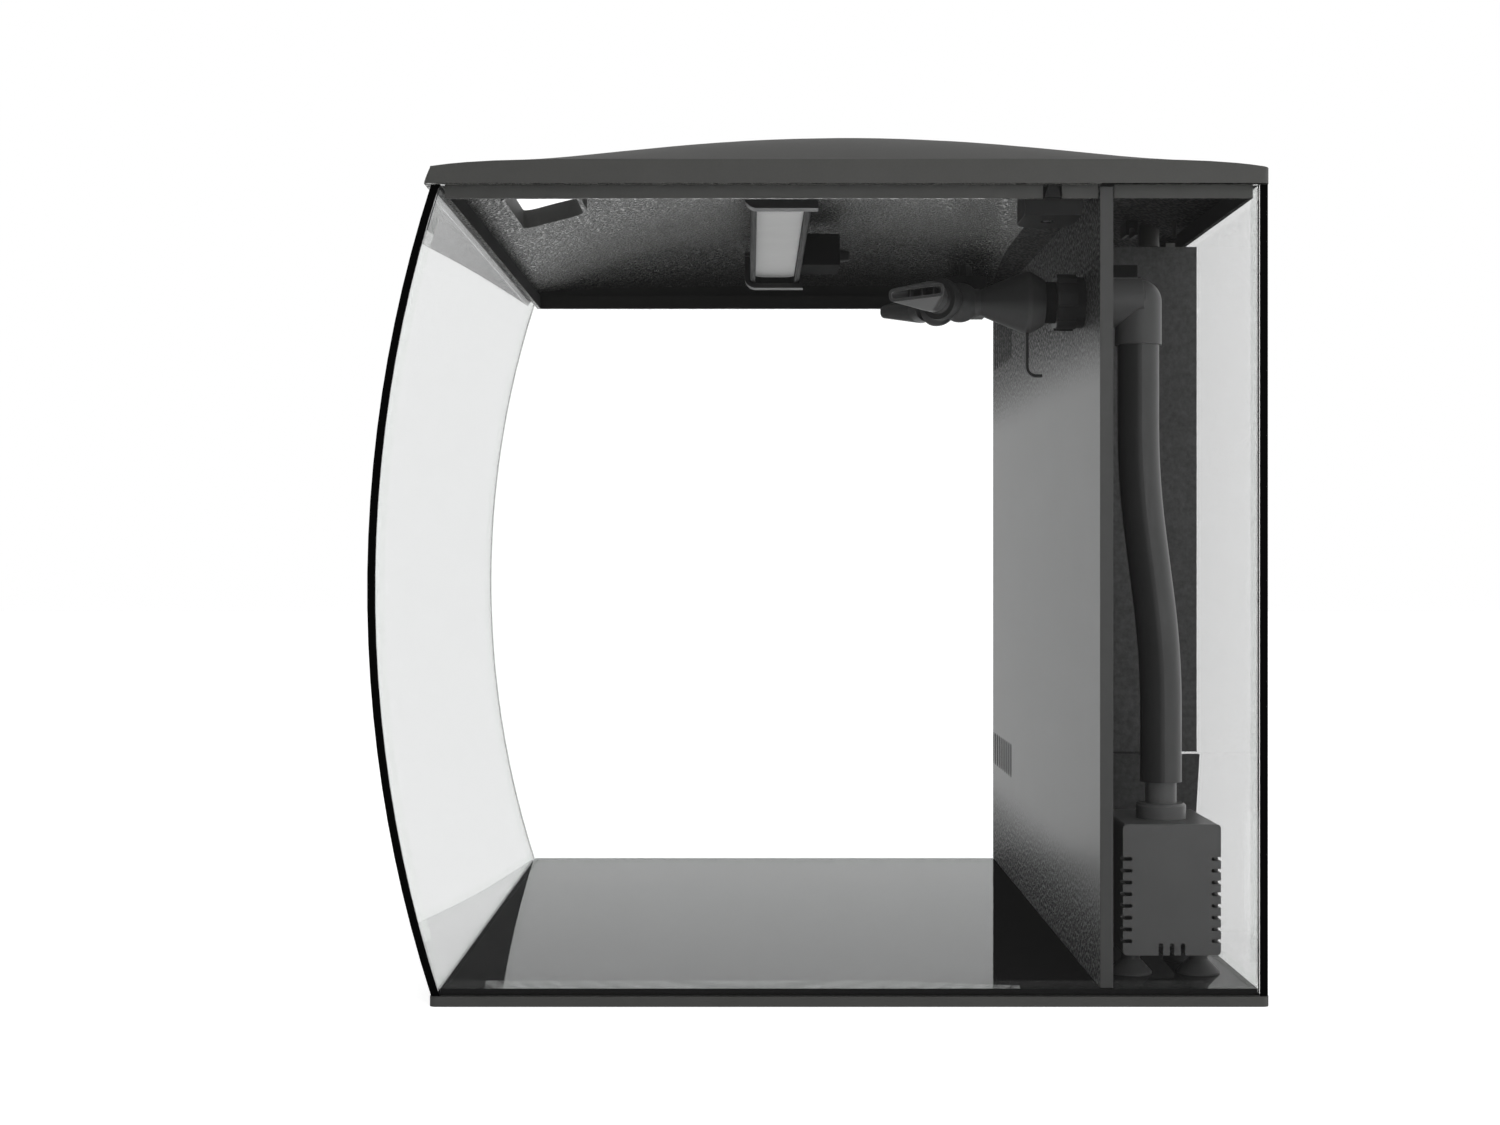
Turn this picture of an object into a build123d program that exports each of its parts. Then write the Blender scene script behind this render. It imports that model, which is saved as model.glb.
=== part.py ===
from build123d import *
from math import cos, pi, radians, sin, sqrt
import os

# Bow-front glass aquarium kit: a glass box on a base tray, a domed lid with a lamp bar, and a
# filter compartment behind a textured wall, with a pump, a hose and a turning twin outlet.
# Millimetres. X is the width, the front faces -Y and Z is up. The origin is the bottom centre.

os.makedirs("parts", exist_ok=True)

# ---- overall sizes ----
width = 410.0                 # base tray and lid, left to right
depth = 390.0                 # foremost point of the bowed glass to the rear face
tray_height = 4.3             # base tray, which the glass stands on
glass_height = 351.0          # side, front and rear panes
lid_rim_height = 10.4         # upright rim of the lid at mid depth
dome_rise = 24.0              # top of the dome above the rim
fit = 0.3                     # gap between neighbouring pieces
sides = (-1, 1)               # left and right

rear_y = depth / 2
bow_y = -depth / 2
end_x = width / 2

# ---- glass ----
glass = 3.5                   # thickness of every pane
glass_inset = 2.0             # side panes behind the ends of tray and lid
rear_inset = 0.4              # rear pane behind the rear face of the tray
bow_radius = 571.0            # outer face of the front pane, curved from bottom to top
floor_rise = 2.7              # bottom pane's top above the tray's rim
bead = 3.5                    # legs of the sealing beads
bead_end = 1.0                # upright beads end this far below the top of the glass

# ---- base tray ----
tray_lip = 0.6                # tray in front of the lower edge of the bowed pane
trim_corner = 3.0             # corners of tray and lid in plan
pocket_depth = 1.5            # hollows under the tray
pocket_rim = 12.0             # rim round the hollows
pocket_rib = 8.0              # ribs between the hollows
pocket_count = (4, 3)

# ---- filter compartment ----
compartment_depth = 72.5      # rear face to the face of the compartment wall towards the tank
wall_front = rear_y - compartment_depth
wall_thickness = 5.7
wall_side_gap = 0.5
wall_top_gap = 0.5            # wall's top below the top of the glass
slot_count = 10
slot_pitch = 9.4
slot_width = 4.8
slot_end = 52.5               # left end to the middle of the slots
slot_centre_x = slot_end - end_x
surface_slot_drop = (44.8, 10.3)  # foot and top of the upper group below the glass
lower_slots = (66.5, 86.4)        # heights of the lower group
surface_slots = [tray_height + glass_height - drop for drop in surface_slot_drop]
baffle_thickness = 3.0
intake_chamber = 104.0        # left end to the first baffle
media_chamber = 89.0          # first baffle to the second
mid_baffle_end = 132.2        # right end to the plate of the pump's chamber
intake_baffle_x = intake_chamber - end_x
media_baffle_x = intake_baffle_x + media_chamber
mid_baffle_x = end_x - mid_baffle_end
low_baffle_drop = 30.3        # top of the two baffles round the media below the glass
mid_baffle_drop = 7.9         # top of the mid plate below the glass
mid_baffle_bottom = 98.6
weir_height = 97.9            # top of the leaning plate
weir_top_end = 122.5          # right end to the leaning plate's upper edge
weir_foot_end = 146.0         # right end to its foot
low_baffle_top = tray_height + glass_height - low_baffle_drop
mid_baffle_top = tray_height + glass_height - mid_baffle_drop
weir_top = (end_x - weir_top_end, weir_height)
weir_foot_x = end_x - weir_foot_end
port_height = 26.0            # openings through the baffles round the media
port_width = 4.5
port_pitch = 10.5
port_count = 5
foam_height = 290.0
bag_corner = 9.0
ring_bag_height = 150.0
carbon_bag_height = 112.0

# ---- pump ----
pump_rear = 37.5              # rear face to the pump's middle
pump_end = 82.0               # right end to the pump's rear face
pump_y = rear_y - pump_rear
pump_rear_x = end_x - pump_end
pump_length = 57.0            # body and strainer cover together
cover_length = 11.7
pump_width = 43.5
pump_height = 58.1
pump_foot = 10.7              # body above the bottom pane, on its suction cups
pump_corner = 2.0
rotor_height = 26.3           # rotor's axis above the foot of the pump
cover_wall = 1.8
cover_slots = 8
cover_slot_pitch = 5.2
cover_slot_height = 1.7
cover_slot_length = 4.2
cover_slot_drop = 15.4        # top of the pump to the first slot
cover_drain_slots = 3
cover_drain_pitch = 4.9
cover_drain_width = 2.0
cover_drain_height = 5.4
cup_radius = 9.5
cup_neck = 4.25
cup_lip = 0.8                 # thickness of a cup's edge
cup_shoulder = 6.4            # height at which a cup narrows to its neck
cup_hollow = 2.7              # height of the hollow under a cup
cup_inset = 9.0               # cups' centres from the body's two ends
cup_spacing_x = 31.0
cup_spacing_y = 30.5
cup_x = (pump_rear_x + cup_inset, pump_rear_x + cup_inset + cup_spacing_x)
shaft_radius = 1.5
shaft_clearance = 0.06
magnet_radius = 8.2
magnet_length = 20.6
magnet_end_gap = 1.0          # magnet's end to the impeller's chamber
impeller_radius = 13.5
impeller_blades = 6
blade_thickness = 1.4
blade_length = 8.5
blade_end_gap = 2.3           # blades to the plate that closes the chamber
disc_thickness = 1.2          # impeller's disc, which carries the blades
chamber_margin = 3.0          # chamber round the impeller
plate_margin = 5.5            # plate's edge beyond the impeller
plate_thickness = 2.0
bush_length = 3.0
bush_wall = 2.5
hub_wall = 1.5
eye_width = 5.0               # openings round the hub
rear_wall = 2.0               # pump's wall behind the rear bush
stem_wall = 2.0               # impeller's stem round the shaft
outlet_bore = 5.5             # water passage out of the pump
outlet_along = 32.0           # pump's rear face to its outlet
outlet_x_pump = pump_rear_x + outlet_along
outlet_ring_radius = 11.2
outlet_ring_height = 6.9
outlet_neck_radius = 7.0
outlet_neck_height = 9.6
outlet_seat = 5.8             # outlet's length inside the pump's body
barb_length = 16.0            # neck inside the hose
gland_radius = 4.0
gland_length = 6.0
gland_end_radius = 2.8
gland_bore = 1.6

# ---- hose and wall connector ----
hose_radius = 9.35
hose_clearance = 0.1
hose_bend_low = 150.0         # height where the hose starts to lean
hose_bend_rise = 80.0         # height of the leaning run
hose_bend_radius = 380.0
outlet_end = 54.0             # right end to the axis of the turning outlet
outlet_drop = 44.8            # that axis below the top of the glass
elbow_rear = 47.0             # rear face to the axis of the elbow's upright leg
outlet_x = end_x - outlet_end
outlet_z = tray_height + glass_height - outlet_drop
elbow_y = rear_y - elbow_rear
elbow_radius = 10.5
elbow_drop = 19.5             # elbow's lower end below its axis
elbow_bore = 6.5
hose_socket = 12.5            # hose's length inside the elbow
sleeve_overlap = 0.7          # connector's sleeve reaches this far past the elbow's axis
sleeve_end = elbow_y + sleeve_overlap
sleeve_radius = 11.5
sleeve_bore = 8.6
sleeve_depth = 9.5
flange_radius = 13.0
flange_thickness = 2.0
gasket_thickness = 1.5
neck_radius = 9.4             # threaded neck through the wall
connector_bore = 5.0
nut_length = 12.8
nut_radius = 11.6
nut_lugs = 6
nut_lug_radius = 13.1
nut_lug_width = 6.0
nut_lug_length = 9.0
lug_width = 10.0              # lug on the connector's sleeve
lug_low = 10.5
lug_high = 16.5

# ---- turning twin outlet ----
spigot_reach_out = 36.5       # connector's smooth end in front of the wall, which the outlet turns on
spigot_length = 13.6
spigot_front = wall_front - spigot_reach_out
spigot_end = spigot_front + spigot_length
spigot_radius = 8.0
turn_clearance = 0.08
ring_groove_start = 4.8       # spigot's end to the groove of the O-ring
ring_groove_width = 2.4
ring_groove = (spigot_front + ring_groove_start, spigot_front + ring_groove_start + ring_groove_width)
ring_groove_depth = 1.5
cone_lead = 10.6              # cone's tip in front of the spigot
cone_flare = 20.6             # tip to the rim
cone_rim_width = 2.0
cone_length = 29.2
cone_tip = spigot_front - cone_lead
cone_tip_radius = 5.8
cone_rim = (cone_tip + cone_flare, cone_tip + cone_flare + cone_rim_width)
cone_rim_radius = 14.2
cone_back = cone_tip + cone_length
cone_back_radius = 10.6
cone_bore = 4.2
lever_y = (cone_rim[0] + cone_rim[1]) / 2
lever_drop = 33.5
lever_toe = 6.8
lever_toe_y = lever_y + lever_toe
lever_bend = 4.0
lever_thickness = 1.2
lever_width = 5.0
fork_lead = 8.9               # fork's centre in front of the cone's tip
fork_y = cone_tip - fork_lead
fork_radius = 9.0
fork_bore = 3.4
arm_radius = 6.0
arm_angle = 40.0              # arms point forward of sideways
arm_reach = 15.0              # fork's centre to the centre of a ball
nozzle_angle = 28.0           # flat nozzles point forward of sideways at rest
fork_bead = 0.5               # fork's stem stands out from the cone's tip
tenon_length = 5.0            # stem's length inside the cone
ball_radius = 7.08
ball_clearance = 0.1
socket_wall = 2.2
socket_lip = 2.2              # socket's mouth beyond the centre of its ball
ball_tube_radius = 4.2
ball_tube_end = 13.8
ball_bore = 2.8
nozzle_start = 8.2            # distances from the centre of the ball
nozzle_loft = 14.0
nozzle_mouth = 28.0
nozzle_neck = 6.6
mouth_width = 26.5
mouth_height = 5.9
mouth_wall = 1.35
vane_thickness = 0.8
vane_pitch = 5.6
vane_count = 3
vane_recess = 6.0             # vanes' front edges inside the mouth
vane_length = 4.0
nozzle_twist = 3.0            # flat nozzles are turned slightly at rest
neck_corner = 0.96            # corner radius where the neck widens, as a share of its radius
mouth_corner = 0.4            # corner radius of the mouth, as a share of its height

# ---- lid ----
lid_lip = 24.5                # lid's front face behind the foremost point of the bow
lid_gap = 0.3                 # lid's seat above the glass
lid_wall = 2.5
seat_thickness = 2.5
skirt_inset = 7.0             # skirt's outer face behind the lid's ends
skirt_inset_y = (8.5, 6.0)    # the same at the front and at the rear
skirt_wall = 2.0
skirt_depth = 5.6
rim_fall = 3.6                # rim is lower at the front and rear ends
rim_fall_power = 9
dome_centre_y = 14.0
dome_rear = 12.0              # rear foot of the dome in front of the rear face
dome_half_depth = rear_y - dome_rear - dome_centre_y
dome_side_power = 5.7
dome_blend = 0.06             # softens the foot of the dome at front and rear
dome_point_count = 25         # points that set the dome's shape, each way
front_lean = (3.0, 6.5)       # front of the rim leans back by, over this height
feed_end = (106.5, 67.0)      # right end and bow to the middle of the feed hole
feed_centre = (end_x - feed_end[0], bow_y + feed_end[1])
feed_size = (93.0, 30.0)
feed_corner = 8.0
feed_collar = 2.0
feed_collar_depth = 9.0
post_radius = 4.0
pilot_radius = 1.25
catch_rear = 92.2                 # rear face to the catch's middle
catch_y = rear_y - catch_rear
catch_drop = 12.1                 # its underside below the top of the glass
catch_bottom = tray_height + glass_height - catch_drop
catch_height = 22.3
catch_width = 25.0                # its inner end is a half circle of this width
catch_wall = 2.0
catch_end = 47.0                  # end of the lid to the inner end of the catch
catch_inner_x = end_x - catch_end
catch_boss = 5.0
catch_tab = (7.0, 4.0)            # tab's width at the foot and at the top
catch_tab_shift = 0.8             # tab's middle in front of the catch's middle
boss_rear = 19.0                  # rear face to the boss, the rod and the clip
boss_centre = (30.0, rear_y - boss_rear)   # round boss under the lid's rear
boss_radius = 5.3
boss_drop = 1.3                   # boss reaches this far below the top of the glass
boss_bottom = tray_height + glass_height - boss_drop
rod_rear = 12.0
rod_centre = (60.0, rear_y - rod_rear)
rod_radius = 1.1
clip_x = (24.0, 40.0)
clip_rear = 26.5
clip_depth = 6.0
clip_y = (rear_y - clip_rear - clip_depth, rear_y - clip_rear)
clip_rise = 3.7                   # foot of the clip above the glass
clip_bottom = tray_height + glass_height + clip_rise
cable_notch_x = (18.0, 42.0)      # notch in the lid's rear rim for the cables
cable_notch_height = 5.0          # above the glass

# ---- lamp ----
lamp_rear = 0.0
lamp_depth = 29.4
lamp_end = 62.7               # end of the lid to the end of the lamp
lamp_rise = 2.7               # underside of the lamp above the glass
lamp_front = lamp_rear - lamp_depth
lamp_half_length = end_x - lamp_end
lamp_bottom = tray_height + glass_height + lamp_rise
lamp_height = 12.5
lamp_end_corner = 10.0
lamp_wall = 2.0
lamp_rim = 3.2                # housing's edge round the diffuser
lamp_rim_round = 2.4          # rounding of its lower outer edge
diffuser_recess = 3.8
diffuser_thickness = 1.5
board_thickness = 1.6
led_size = 5.0
led_height = 1.0
led_count = 24
led_end = 7.5                  # end of the board to the first diode
bracket_front_wall = 3.1      # in front of the lamp and under it
bracket_rear_wall = 2.1
bracket_grip = 8.0            # lamp's length inside a bracket
bracket_front = lamp_front - bracket_front_wall
bracket_rear = lamp_rear + bracket_rear_wall
bracket_bottom = lamp_bottom - bracket_front_wall
bracket_drop = 14.7           # top of the bracket below the crown of the dome
bracket_top = tray_height + glass_height + lid_gap + lid_rim_height + dome_rise - bracket_drop
bracket_wall = 2.0
bracket_foot = 15.0
bracket_corner = 6.5
screw_radius = 1.2
screw_head_radius = 2.8
screw_head = 1.8
screw_crown = 0.7             # rounded part of the head's height
screw_crown_radius = 2.0
screw_length = 8.0
screw_spacing_y = 20.0
box_left = 91.0               # left end of the lid to the junction box behind the lamp
box_length = 40.0
box_x = (box_left - end_x, box_left + box_length - end_x)
box_depth = 21.5
box_rise = 2.0                # its underside above the lamp's
box_rear = lamp_rear + box_depth
box_bottom = lamp_bottom + box_rise
box_height = 16.0
box_wall = 1.6

# ---- places worked out from the sizes ----
glass_bottom = tray_height
glass_top = glass_bottom + glass_height
side_out = end_x - glass_inset
side_in = side_out - glass
rear_out = rear_y - rear_inset
rear_in = rear_out - glass
bow_centre_y = bow_y + bow_radius
bow_centre_z = glass_bottom + glass_height / 2
bow_inner = bow_radius - glass
floor_z = tray_height + floor_rise
floor_bottom = floor_z - glass
wall_rear = wall_front + wall_thickness
baffle_rear = rear_in - fit
pump_bottom = floor_z + pump_foot
pump_top = pump_bottom + pump_height
rotor_z = pump_bottom + rotor_height
pump_front_x = pump_rear_x + pump_length
cover_rear_x = pump_front_x - cover_length
rim_bottom = glass_top + lid_gap
rim_top = rim_bottom + lid_rim_height
lid_front = bow_y + lid_lip
skirt_bottom = rim_bottom - skirt_depth
skirt_x = end_x - skirt_inset
skirt_front = lid_front + skirt_inset_y[0]
skirt_rear = rear_y - skirt_inset_y[1]


def bow_line(radius, z):
    """Y of the front pane's face of this radius at height z."""
    return bow_centre_y - sqrt(radius**2 - (z - bow_centre_z) ** 2)


tray_front = bow_line(bow_radius, glass_bottom) - tray_lip
seat_front = bow_line(bow_inner, glass_bottom)

# ---- planes of the turned pieces: local X is the axis, local Y the radius ----
outlet_plane = Plane(origin=(outlet_x, 0, outlet_z), x_dir=(0, 1, 0), z_dir=(1, 0, 0))
rotor_plane = Plane(origin=(0, pump_y, rotor_z), x_dir=(1, 0, 0), z_dir=(0, -1, 0))


def upright_plane(x, y):
    """Plane of a piece turned about an upright axis: local X is the height."""
    return Plane(origin=(x, y, 0), x_dir=(0, 0, 1), z_dir=(0, 1, 0))


def side_name(side, name):
    """Name of one of a pair: the right one lies at +X."""
    return ("right_" if side > 0 else "left_") + name


def span_box(x, y, z, mode=Mode.ADD):
    """A box between three pairs of limits, in the part being built."""
    with Locations(((x[0] + x[1]) / 2, (y[0] + y[1]) / 2, (z[0] + z[1]) / 2)):
        Box(x[1] - x[0], y[1] - y[0], z[1] - z[0], mode=mode)


def turned(outline, plane):
    """A round solid: an outline of (along, radius) points turned about the plane's X axis."""
    with BuildPart(mode=Mode.PRIVATE) as piece:
        with BuildSketch(plane):
            with BuildLine():
                Polyline(*outline, close=True)
            make_face()
        revolve(axis=Axis(plane.origin, plane.x_dir))
    return piece.part


def save(piece, name):
    """Labels a finished piece and writes it as its own file."""
    piece.part.label = name
    export_step(piece.part, f"parts/{name}.step")


# ======================================================================== base tray and glass

# Base tray: a flat moulding with a shallow seat for the bottom pane and hollows underneath.
with BuildPart() as base_tray:
    tray_depth = rear_y - tray_front
    with BuildSketch():
        with Locations((0, (tray_front + rear_y) / 2)):
            RectangleRounded(width, tray_depth, trim_corner)
    extrude(amount=tray_height)
    span_box((-side_in, side_in), (seat_front, rear_in), (floor_bottom, tray_height), Mode.SUBTRACT)
    pocket_x = (width - 2 * pocket_rim + pocket_rib) / pocket_count[0]
    pocket_y = (tray_depth - 2 * pocket_rim + pocket_rib) / pocket_count[1]
    with BuildSketch():
        with Locations((0, (tray_front + rear_y) / 2)):
            with GridLocations(pocket_x, pocket_y, *pocket_count):
                Rectangle(pocket_x - pocket_rib, pocket_y - pocket_rib)
    extrude(amount=pocket_depth, mode=Mode.SUBTRACT)
save(base_tray, "base_tray")

# Bottom pane, black, in the tray's seat between the upright panes.
with BuildPart() as bottom_glass:
    span_box((-side_in + fit, side_in - fit), (seat_front + fit, baffle_rear), (floor_bottom, floor_z))
save(bottom_glass, "bottom_glass")

# Front pane, curved from bottom to top and as wide as the tank.
with BuildPart() as front_glass:
    with BuildSketch(Plane.YZ):
        with Locations((bow_centre_y, bow_centre_z)):
            Circle(bow_radius)
            Circle(bow_inner, mode=Mode.SUBTRACT)
        with Locations((bow_y, bow_centre_z)):
            Rectangle(bow_radius, glass_height, mode=Mode.INTERSECT)
    extrude(amount=side_out, both=True)
save(front_glass, "front_glass")

# Rear pane, flat and as wide as the tank.
with BuildPart() as rear_glass:
    span_box((-side_out, side_out), (rear_in, rear_out), (glass_bottom, glass_top))
save(rear_glass, "rear_glass")

# Side panes, between the front and rear panes, with their front edges curved to match.
for side in sides:
    with BuildPart() as side_glass:
        with BuildSketch(Plane.YZ.offset(side * (side_in + glass / 2))):
            with Locations((bow_centre_y, bow_centre_z)):
                Circle(bow_inner - fit)
            pane_depth = rear_in - fit - bow_y
            with Locations((bow_y + pane_depth / 2, bow_centre_z)):
                Rectangle(pane_depth, glass_height, mode=Mode.INTERSECT)
        extrude(amount=glass / 2, both=True)
    save(side_glass, side_name(side, "glass"))

# Upright sealing beads in the four corners, three-sided in section. The front pair follows the bow.
with BuildPart() as corner_beads:
    front_corner = bow_centre_y - bow_inner
    with BuildSketch(Plane.XY.offset(bow_centre_z)):
        for side in sides:
            with BuildLine():
                Polyline(
                    (side * side_in, front_corner),
                    (side * (side_in - bead), front_corner),
                    (side * side_in, front_corner + bead),
                    close=True,
                )
            make_face()
    revolve(axis=Axis((0, bow_centre_y, bow_centre_z), (1, 0, 0)))
    bead_low = floor_z + bead
    bead_high = glass_top - bead_end
    span_box((-side_in, side_in), (bow_y, 0), (bead_low, bead_high), Mode.INTERSECT)
    with BuildSketch(Plane.XY.offset(bead_low)):
        for side in sides:
            with BuildLine():
                Polyline(
                    (side * side_in, rear_in),
                    (side * (side_in - bead), rear_in),
                    (side * side_in, rear_in - bead),
                    close=True,
                )
            make_face()
    extrude(amount=bead_high - bead_low)
save(corner_beads, "corner_beads")


# Beads round the bottom pane, one run in the tank and one in the compartment, with the wall between.
with BuildPart() as floor_beads:
    bead_front = bow_line(bow_inner, floor_z)
    for near, far in ((bead_front, wall_front - fit), (wall_rear + fit, rear_in)):
        span_box((-side_in, side_in), (near, far), (floor_z, floor_z + bead))
    with BuildSketch(Plane.XY.offset(floor_z)):
        open_front = bead_front + bead
        open_rear = wall_front
        with Locations((0, (open_front + open_rear) / 2)):
            Rectangle(2 * (side_in - bead), open_rear - open_front)
        with Locations((0, (wall_rear + rear_in - bead) / 2)):
            Rectangle(2 * (side_in - bead), rear_in - bead - wall_rear)
    extrude(amount=bead, taper=-45, mode=Mode.SUBTRACT)
save(floor_beads, "floor_beads")

# ======================================================================== filter compartment

# Compartment wall, from one side pane to the other, with two groups of upright intake slots at
# its left end and a hole for the threaded neck of the wall connector.
with BuildPart() as compartment_wall:
    wall_half = side_in - wall_side_gap
    wall_top = glass_top - wall_top_gap
    span_box((-wall_half, wall_half), (wall_front, wall_rear), (floor_z + fit, wall_top))
    with BuildSketch(Plane.XZ.offset(-wall_rear)):
        for low, high in (lower_slots, surface_slots):
            with Locations((slot_centre_x, (low + high) / 2)):
                with GridLocations(slot_pitch, 1, slot_count, 1):
                    SlotOverall(high - low, slot_width, rotation=90)
        with Locations((outlet_x, outlet_z)):
            Circle(neck_radius + fit)
    extrude(amount=wall_thickness, mode=Mode.SUBTRACT)
save(compartment_wall, "compartment_wall")


def baffle(x, low, high, port_heights):
    """Upright plate across the compartment, notched over the floor bead, with rows of ports."""
    with BuildPart(mode=Mode.PRIVATE) as plate:
        span_box((x, x + baffle_thickness), (wall_rear, baffle_rear), (low, high))
        notch = bead + fit
        notch_z = (floor_z, floor_z + notch)
        span_box((x, x + baffle_thickness), (rear_in - notch, rear_in), notch_z, Mode.SUBTRACT)
        if port_heights:
            with BuildSketch(Plane.YZ.offset(x)):
                for height in port_heights:
                    with Locations(((wall_rear + baffle_rear) / 2, height)):
                        with GridLocations(port_pitch, 1, port_count, 1):
                            SlotOverall(port_height, port_width, rotation=90)
            extrude(amount=baffle_thickness, mode=Mode.SUBTRACT)
    return plate


# Two baffles round the media bags. Water leaves the foam through the first one's ports, at
# four heights, and leaves the bags through the second one's row at the bottom.
port_low = floor_z + 2 * bead + port_height / 2
port_rise = (low_baffle_top - 2 * bead - floor_z) / 4
intake_ports = [port_low + i * port_rise for i in range(4)]
save(baffle(intake_baffle_x, floor_z + fit, low_baffle_top, intake_ports), "intake_baffle")
save(baffle(media_baffle_x, floor_z + fit, low_baffle_top, [port_low]), "media_baffle")

# Upper plate of the pump's chamber: it ends above the leaning plate and leaves a narrow gap.
save(baffle(mid_baffle_x, mid_baffle_bottom, mid_baffle_top, []), "mid_baffle")

# Leaning plate under it, from the bottom pane up to the gap, which keeps the water in the bags' side.
with BuildPart() as leaning_baffle:
    with BuildSketch(Plane.XZ.offset(-baffle_rear)):
        with BuildLine():
            Polyline(
                (weir_foot_x, floor_z + fit),
                weir_top,
                (weir_top[0] - baffle_thickness, weir_top[1]),
                (weir_foot_x - baffle_thickness, floor_z + fit),
                close=True,
            )
        make_face()
    extrude(amount=baffle_rear - wall_rear)
    notch_x = (weir_foot_x - 2 * baffle_thickness, weir_top[0])
    notch_side = bead + fit
    notch_z = (floor_z, floor_z + notch_side)
    span_box(notch_x, (rear_in - notch_side, rear_in), notch_z, Mode.SUBTRACT)
save(leaning_baffle, "leaning_baffle")

# Foam block behind the intake slots: a plain solid that fills its chamber loosely.
foam_bottom = floor_z + bead + fit
with BuildPart() as foam_block:
    foam_x = (-side_in + fit, intake_baffle_x - fit)
    foam_y = (wall_rear + fit, rear_in - fit)
    span_box(foam_x, foam_y, (foam_bottom, foam_bottom + foam_height))
    corner_edges = foam_block.edges().filter_by(Axis.Z)
    chamfer(corner_edges.group_by(Axis.X)[0].sort_by(Axis.Y)[-1], length=bead)
save(foam_block, "foam_block")


def media_bag(low, height):
    """Filled bag between the two baffles round the media: a block with rounded edges."""
    near = intake_baffle_x + baffle_thickness + fit
    far = media_baffle_x - fit
    with BuildPart(mode=Mode.PRIVATE) as bag:
        span_box((near, far), (wall_rear + fit, rear_in - fit), (low, low + height))
        fillet(bag.edges(), radius=bag_corner)
    return bag


# Two media bags, one on the other: ceramic rings below, carbon above.
save(media_bag(foam_bottom, ring_bag_height), "ring_bag")
save(media_bag(foam_bottom + ring_bag_height + fit, carbon_bag_height), "carbon_bag")

# ======================================================================== pump

# Pump body: a block with a stepped bore for the rotor, open at the front, and an upright
# passage from the impeller's chamber to the outlet.
pump_near = pump_y - pump_width / 2
pump_far = pump_y + pump_width / 2
bush_seat = pump_rear_x + rear_wall
well_start = bush_seat + bush_length
chamber_start = well_start + magnet_length + magnet_end_gap
chamber_end = chamber_start + disc_thickness + blade_length + blade_end_gap
plate_radius = impeller_radius + plate_margin
bush_radius = shaft_radius + bush_wall
magnet_well = magnet_radius + 2 * shaft_clearance + fit
with BuildPart() as pump_body:
    span_box((pump_rear_x, cover_rear_x), (pump_near, pump_far), (pump_bottom, pump_top))
    fillet(pump_body.edges().filter_by(Axis.X), radius=pump_corner)
    bore = (
        (bush_seat, 0),
        (bush_seat, bush_radius),
        (well_start, bush_radius),
        (well_start, magnet_well),
        (chamber_start, magnet_well),
        (chamber_start, impeller_radius + chamber_margin),
        (chamber_end, impeller_radius + chamber_margin),
        (chamber_end, plate_radius),
        (cover_rear_x + 1, plate_radius),
        (cover_rear_x + 1, 0),
    )
    add(turned(bore, rotor_plane), mode=Mode.SUBTRACT)
    with BuildSketch(Plane.XY.offset(rotor_z + magnet_radius)):
        with Locations((outlet_x_pump, pump_y)):
            Circle(outlet_bore)
    extrude(amount=pump_top - rotor_z - magnet_radius, mode=Mode.SUBTRACT)
    with BuildSketch(Plane.XY.offset(pump_top)):
        with Locations((outlet_x_pump, pump_y)):
            Circle(outlet_neck_radius + fit / 2)
    extrude(amount=-outlet_seat - fit, mode=Mode.SUBTRACT)
save(pump_body, "pump_body")

# Plate that closes the impeller's chamber: its hub holds the front bush, and the water enters
# through three openings round the hub.
plate_hub_radius = bush_radius + hub_wall
plate_eye = plate_hub_radius + eye_width
hub_start = chamber_end - 1
with BuildPart() as chamber_plate:
    hub_front = chamber_end + plate_thickness
    plate_outline = (
        (hub_start, shaft_radius + hub_wall),
        (hub_start, plate_hub_radius),
        (chamber_end, plate_hub_radius),
        (chamber_end, plate_radius - fit / 2),
        (hub_front, plate_radius - fit / 2),
        (hub_front, shaft_radius + hub_wall),
    )
    add(turned(plate_outline, rotor_plane))
    with BuildSketch(Plane.YZ.offset(chamber_end)):
        with Locations((pump_y, rotor_z)):
            Circle(plate_eye)
            Circle(plate_hub_radius, mode=Mode.SUBTRACT)
            with PolarLocations(plate_eye / 2, 3):
                Rectangle(plate_eye, blade_thickness * 2, mode=Mode.SUBTRACT)
    extrude(amount=plate_thickness, mode=Mode.SUBTRACT)
save(chamber_plate, "chamber_plate")

# Rotor: the impeller with its stem, and the ring magnet on the stem.
stem_radius = shaft_radius + stem_wall
rotor_bore = shaft_radius + shaft_clearance
rotor_start = well_start + fit
rotor_end = hub_start - fit
disc_start = chamber_start + fit
disc_front = disc_start + disc_thickness
with BuildPart() as impeller:
    impeller_outline = (
        (rotor_start, rotor_bore),
        (rotor_start, stem_radius),
        (disc_start, stem_radius),
        (disc_start, impeller_radius),
        (disc_front, impeller_radius),
        (disc_front, stem_radius + 1),
        (rotor_end, stem_radius + 1),
        (rotor_end, rotor_bore),
    )
    add(turned(impeller_outline, rotor_plane))
    with BuildSketch(Plane.YZ.offset(disc_front)):
        with Locations((pump_y, rotor_z)):
            with PolarLocations((impeller_radius + stem_radius) / 2, impeller_blades):
                Rectangle(impeller_radius - stem_radius, blade_thickness)
    extrude(amount=blade_length)
save(impeller, "impeller")

with BuildPart() as rotor_magnet:
    with BuildSketch(Plane.YZ.offset(rotor_start)):
        with Locations((pump_y, rotor_z)):
            Circle(magnet_radius)
            Circle(stem_radius, mode=Mode.SUBTRACT)
    extrude(amount=magnet_length)
save(rotor_magnet, "rotor_magnet")

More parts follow.
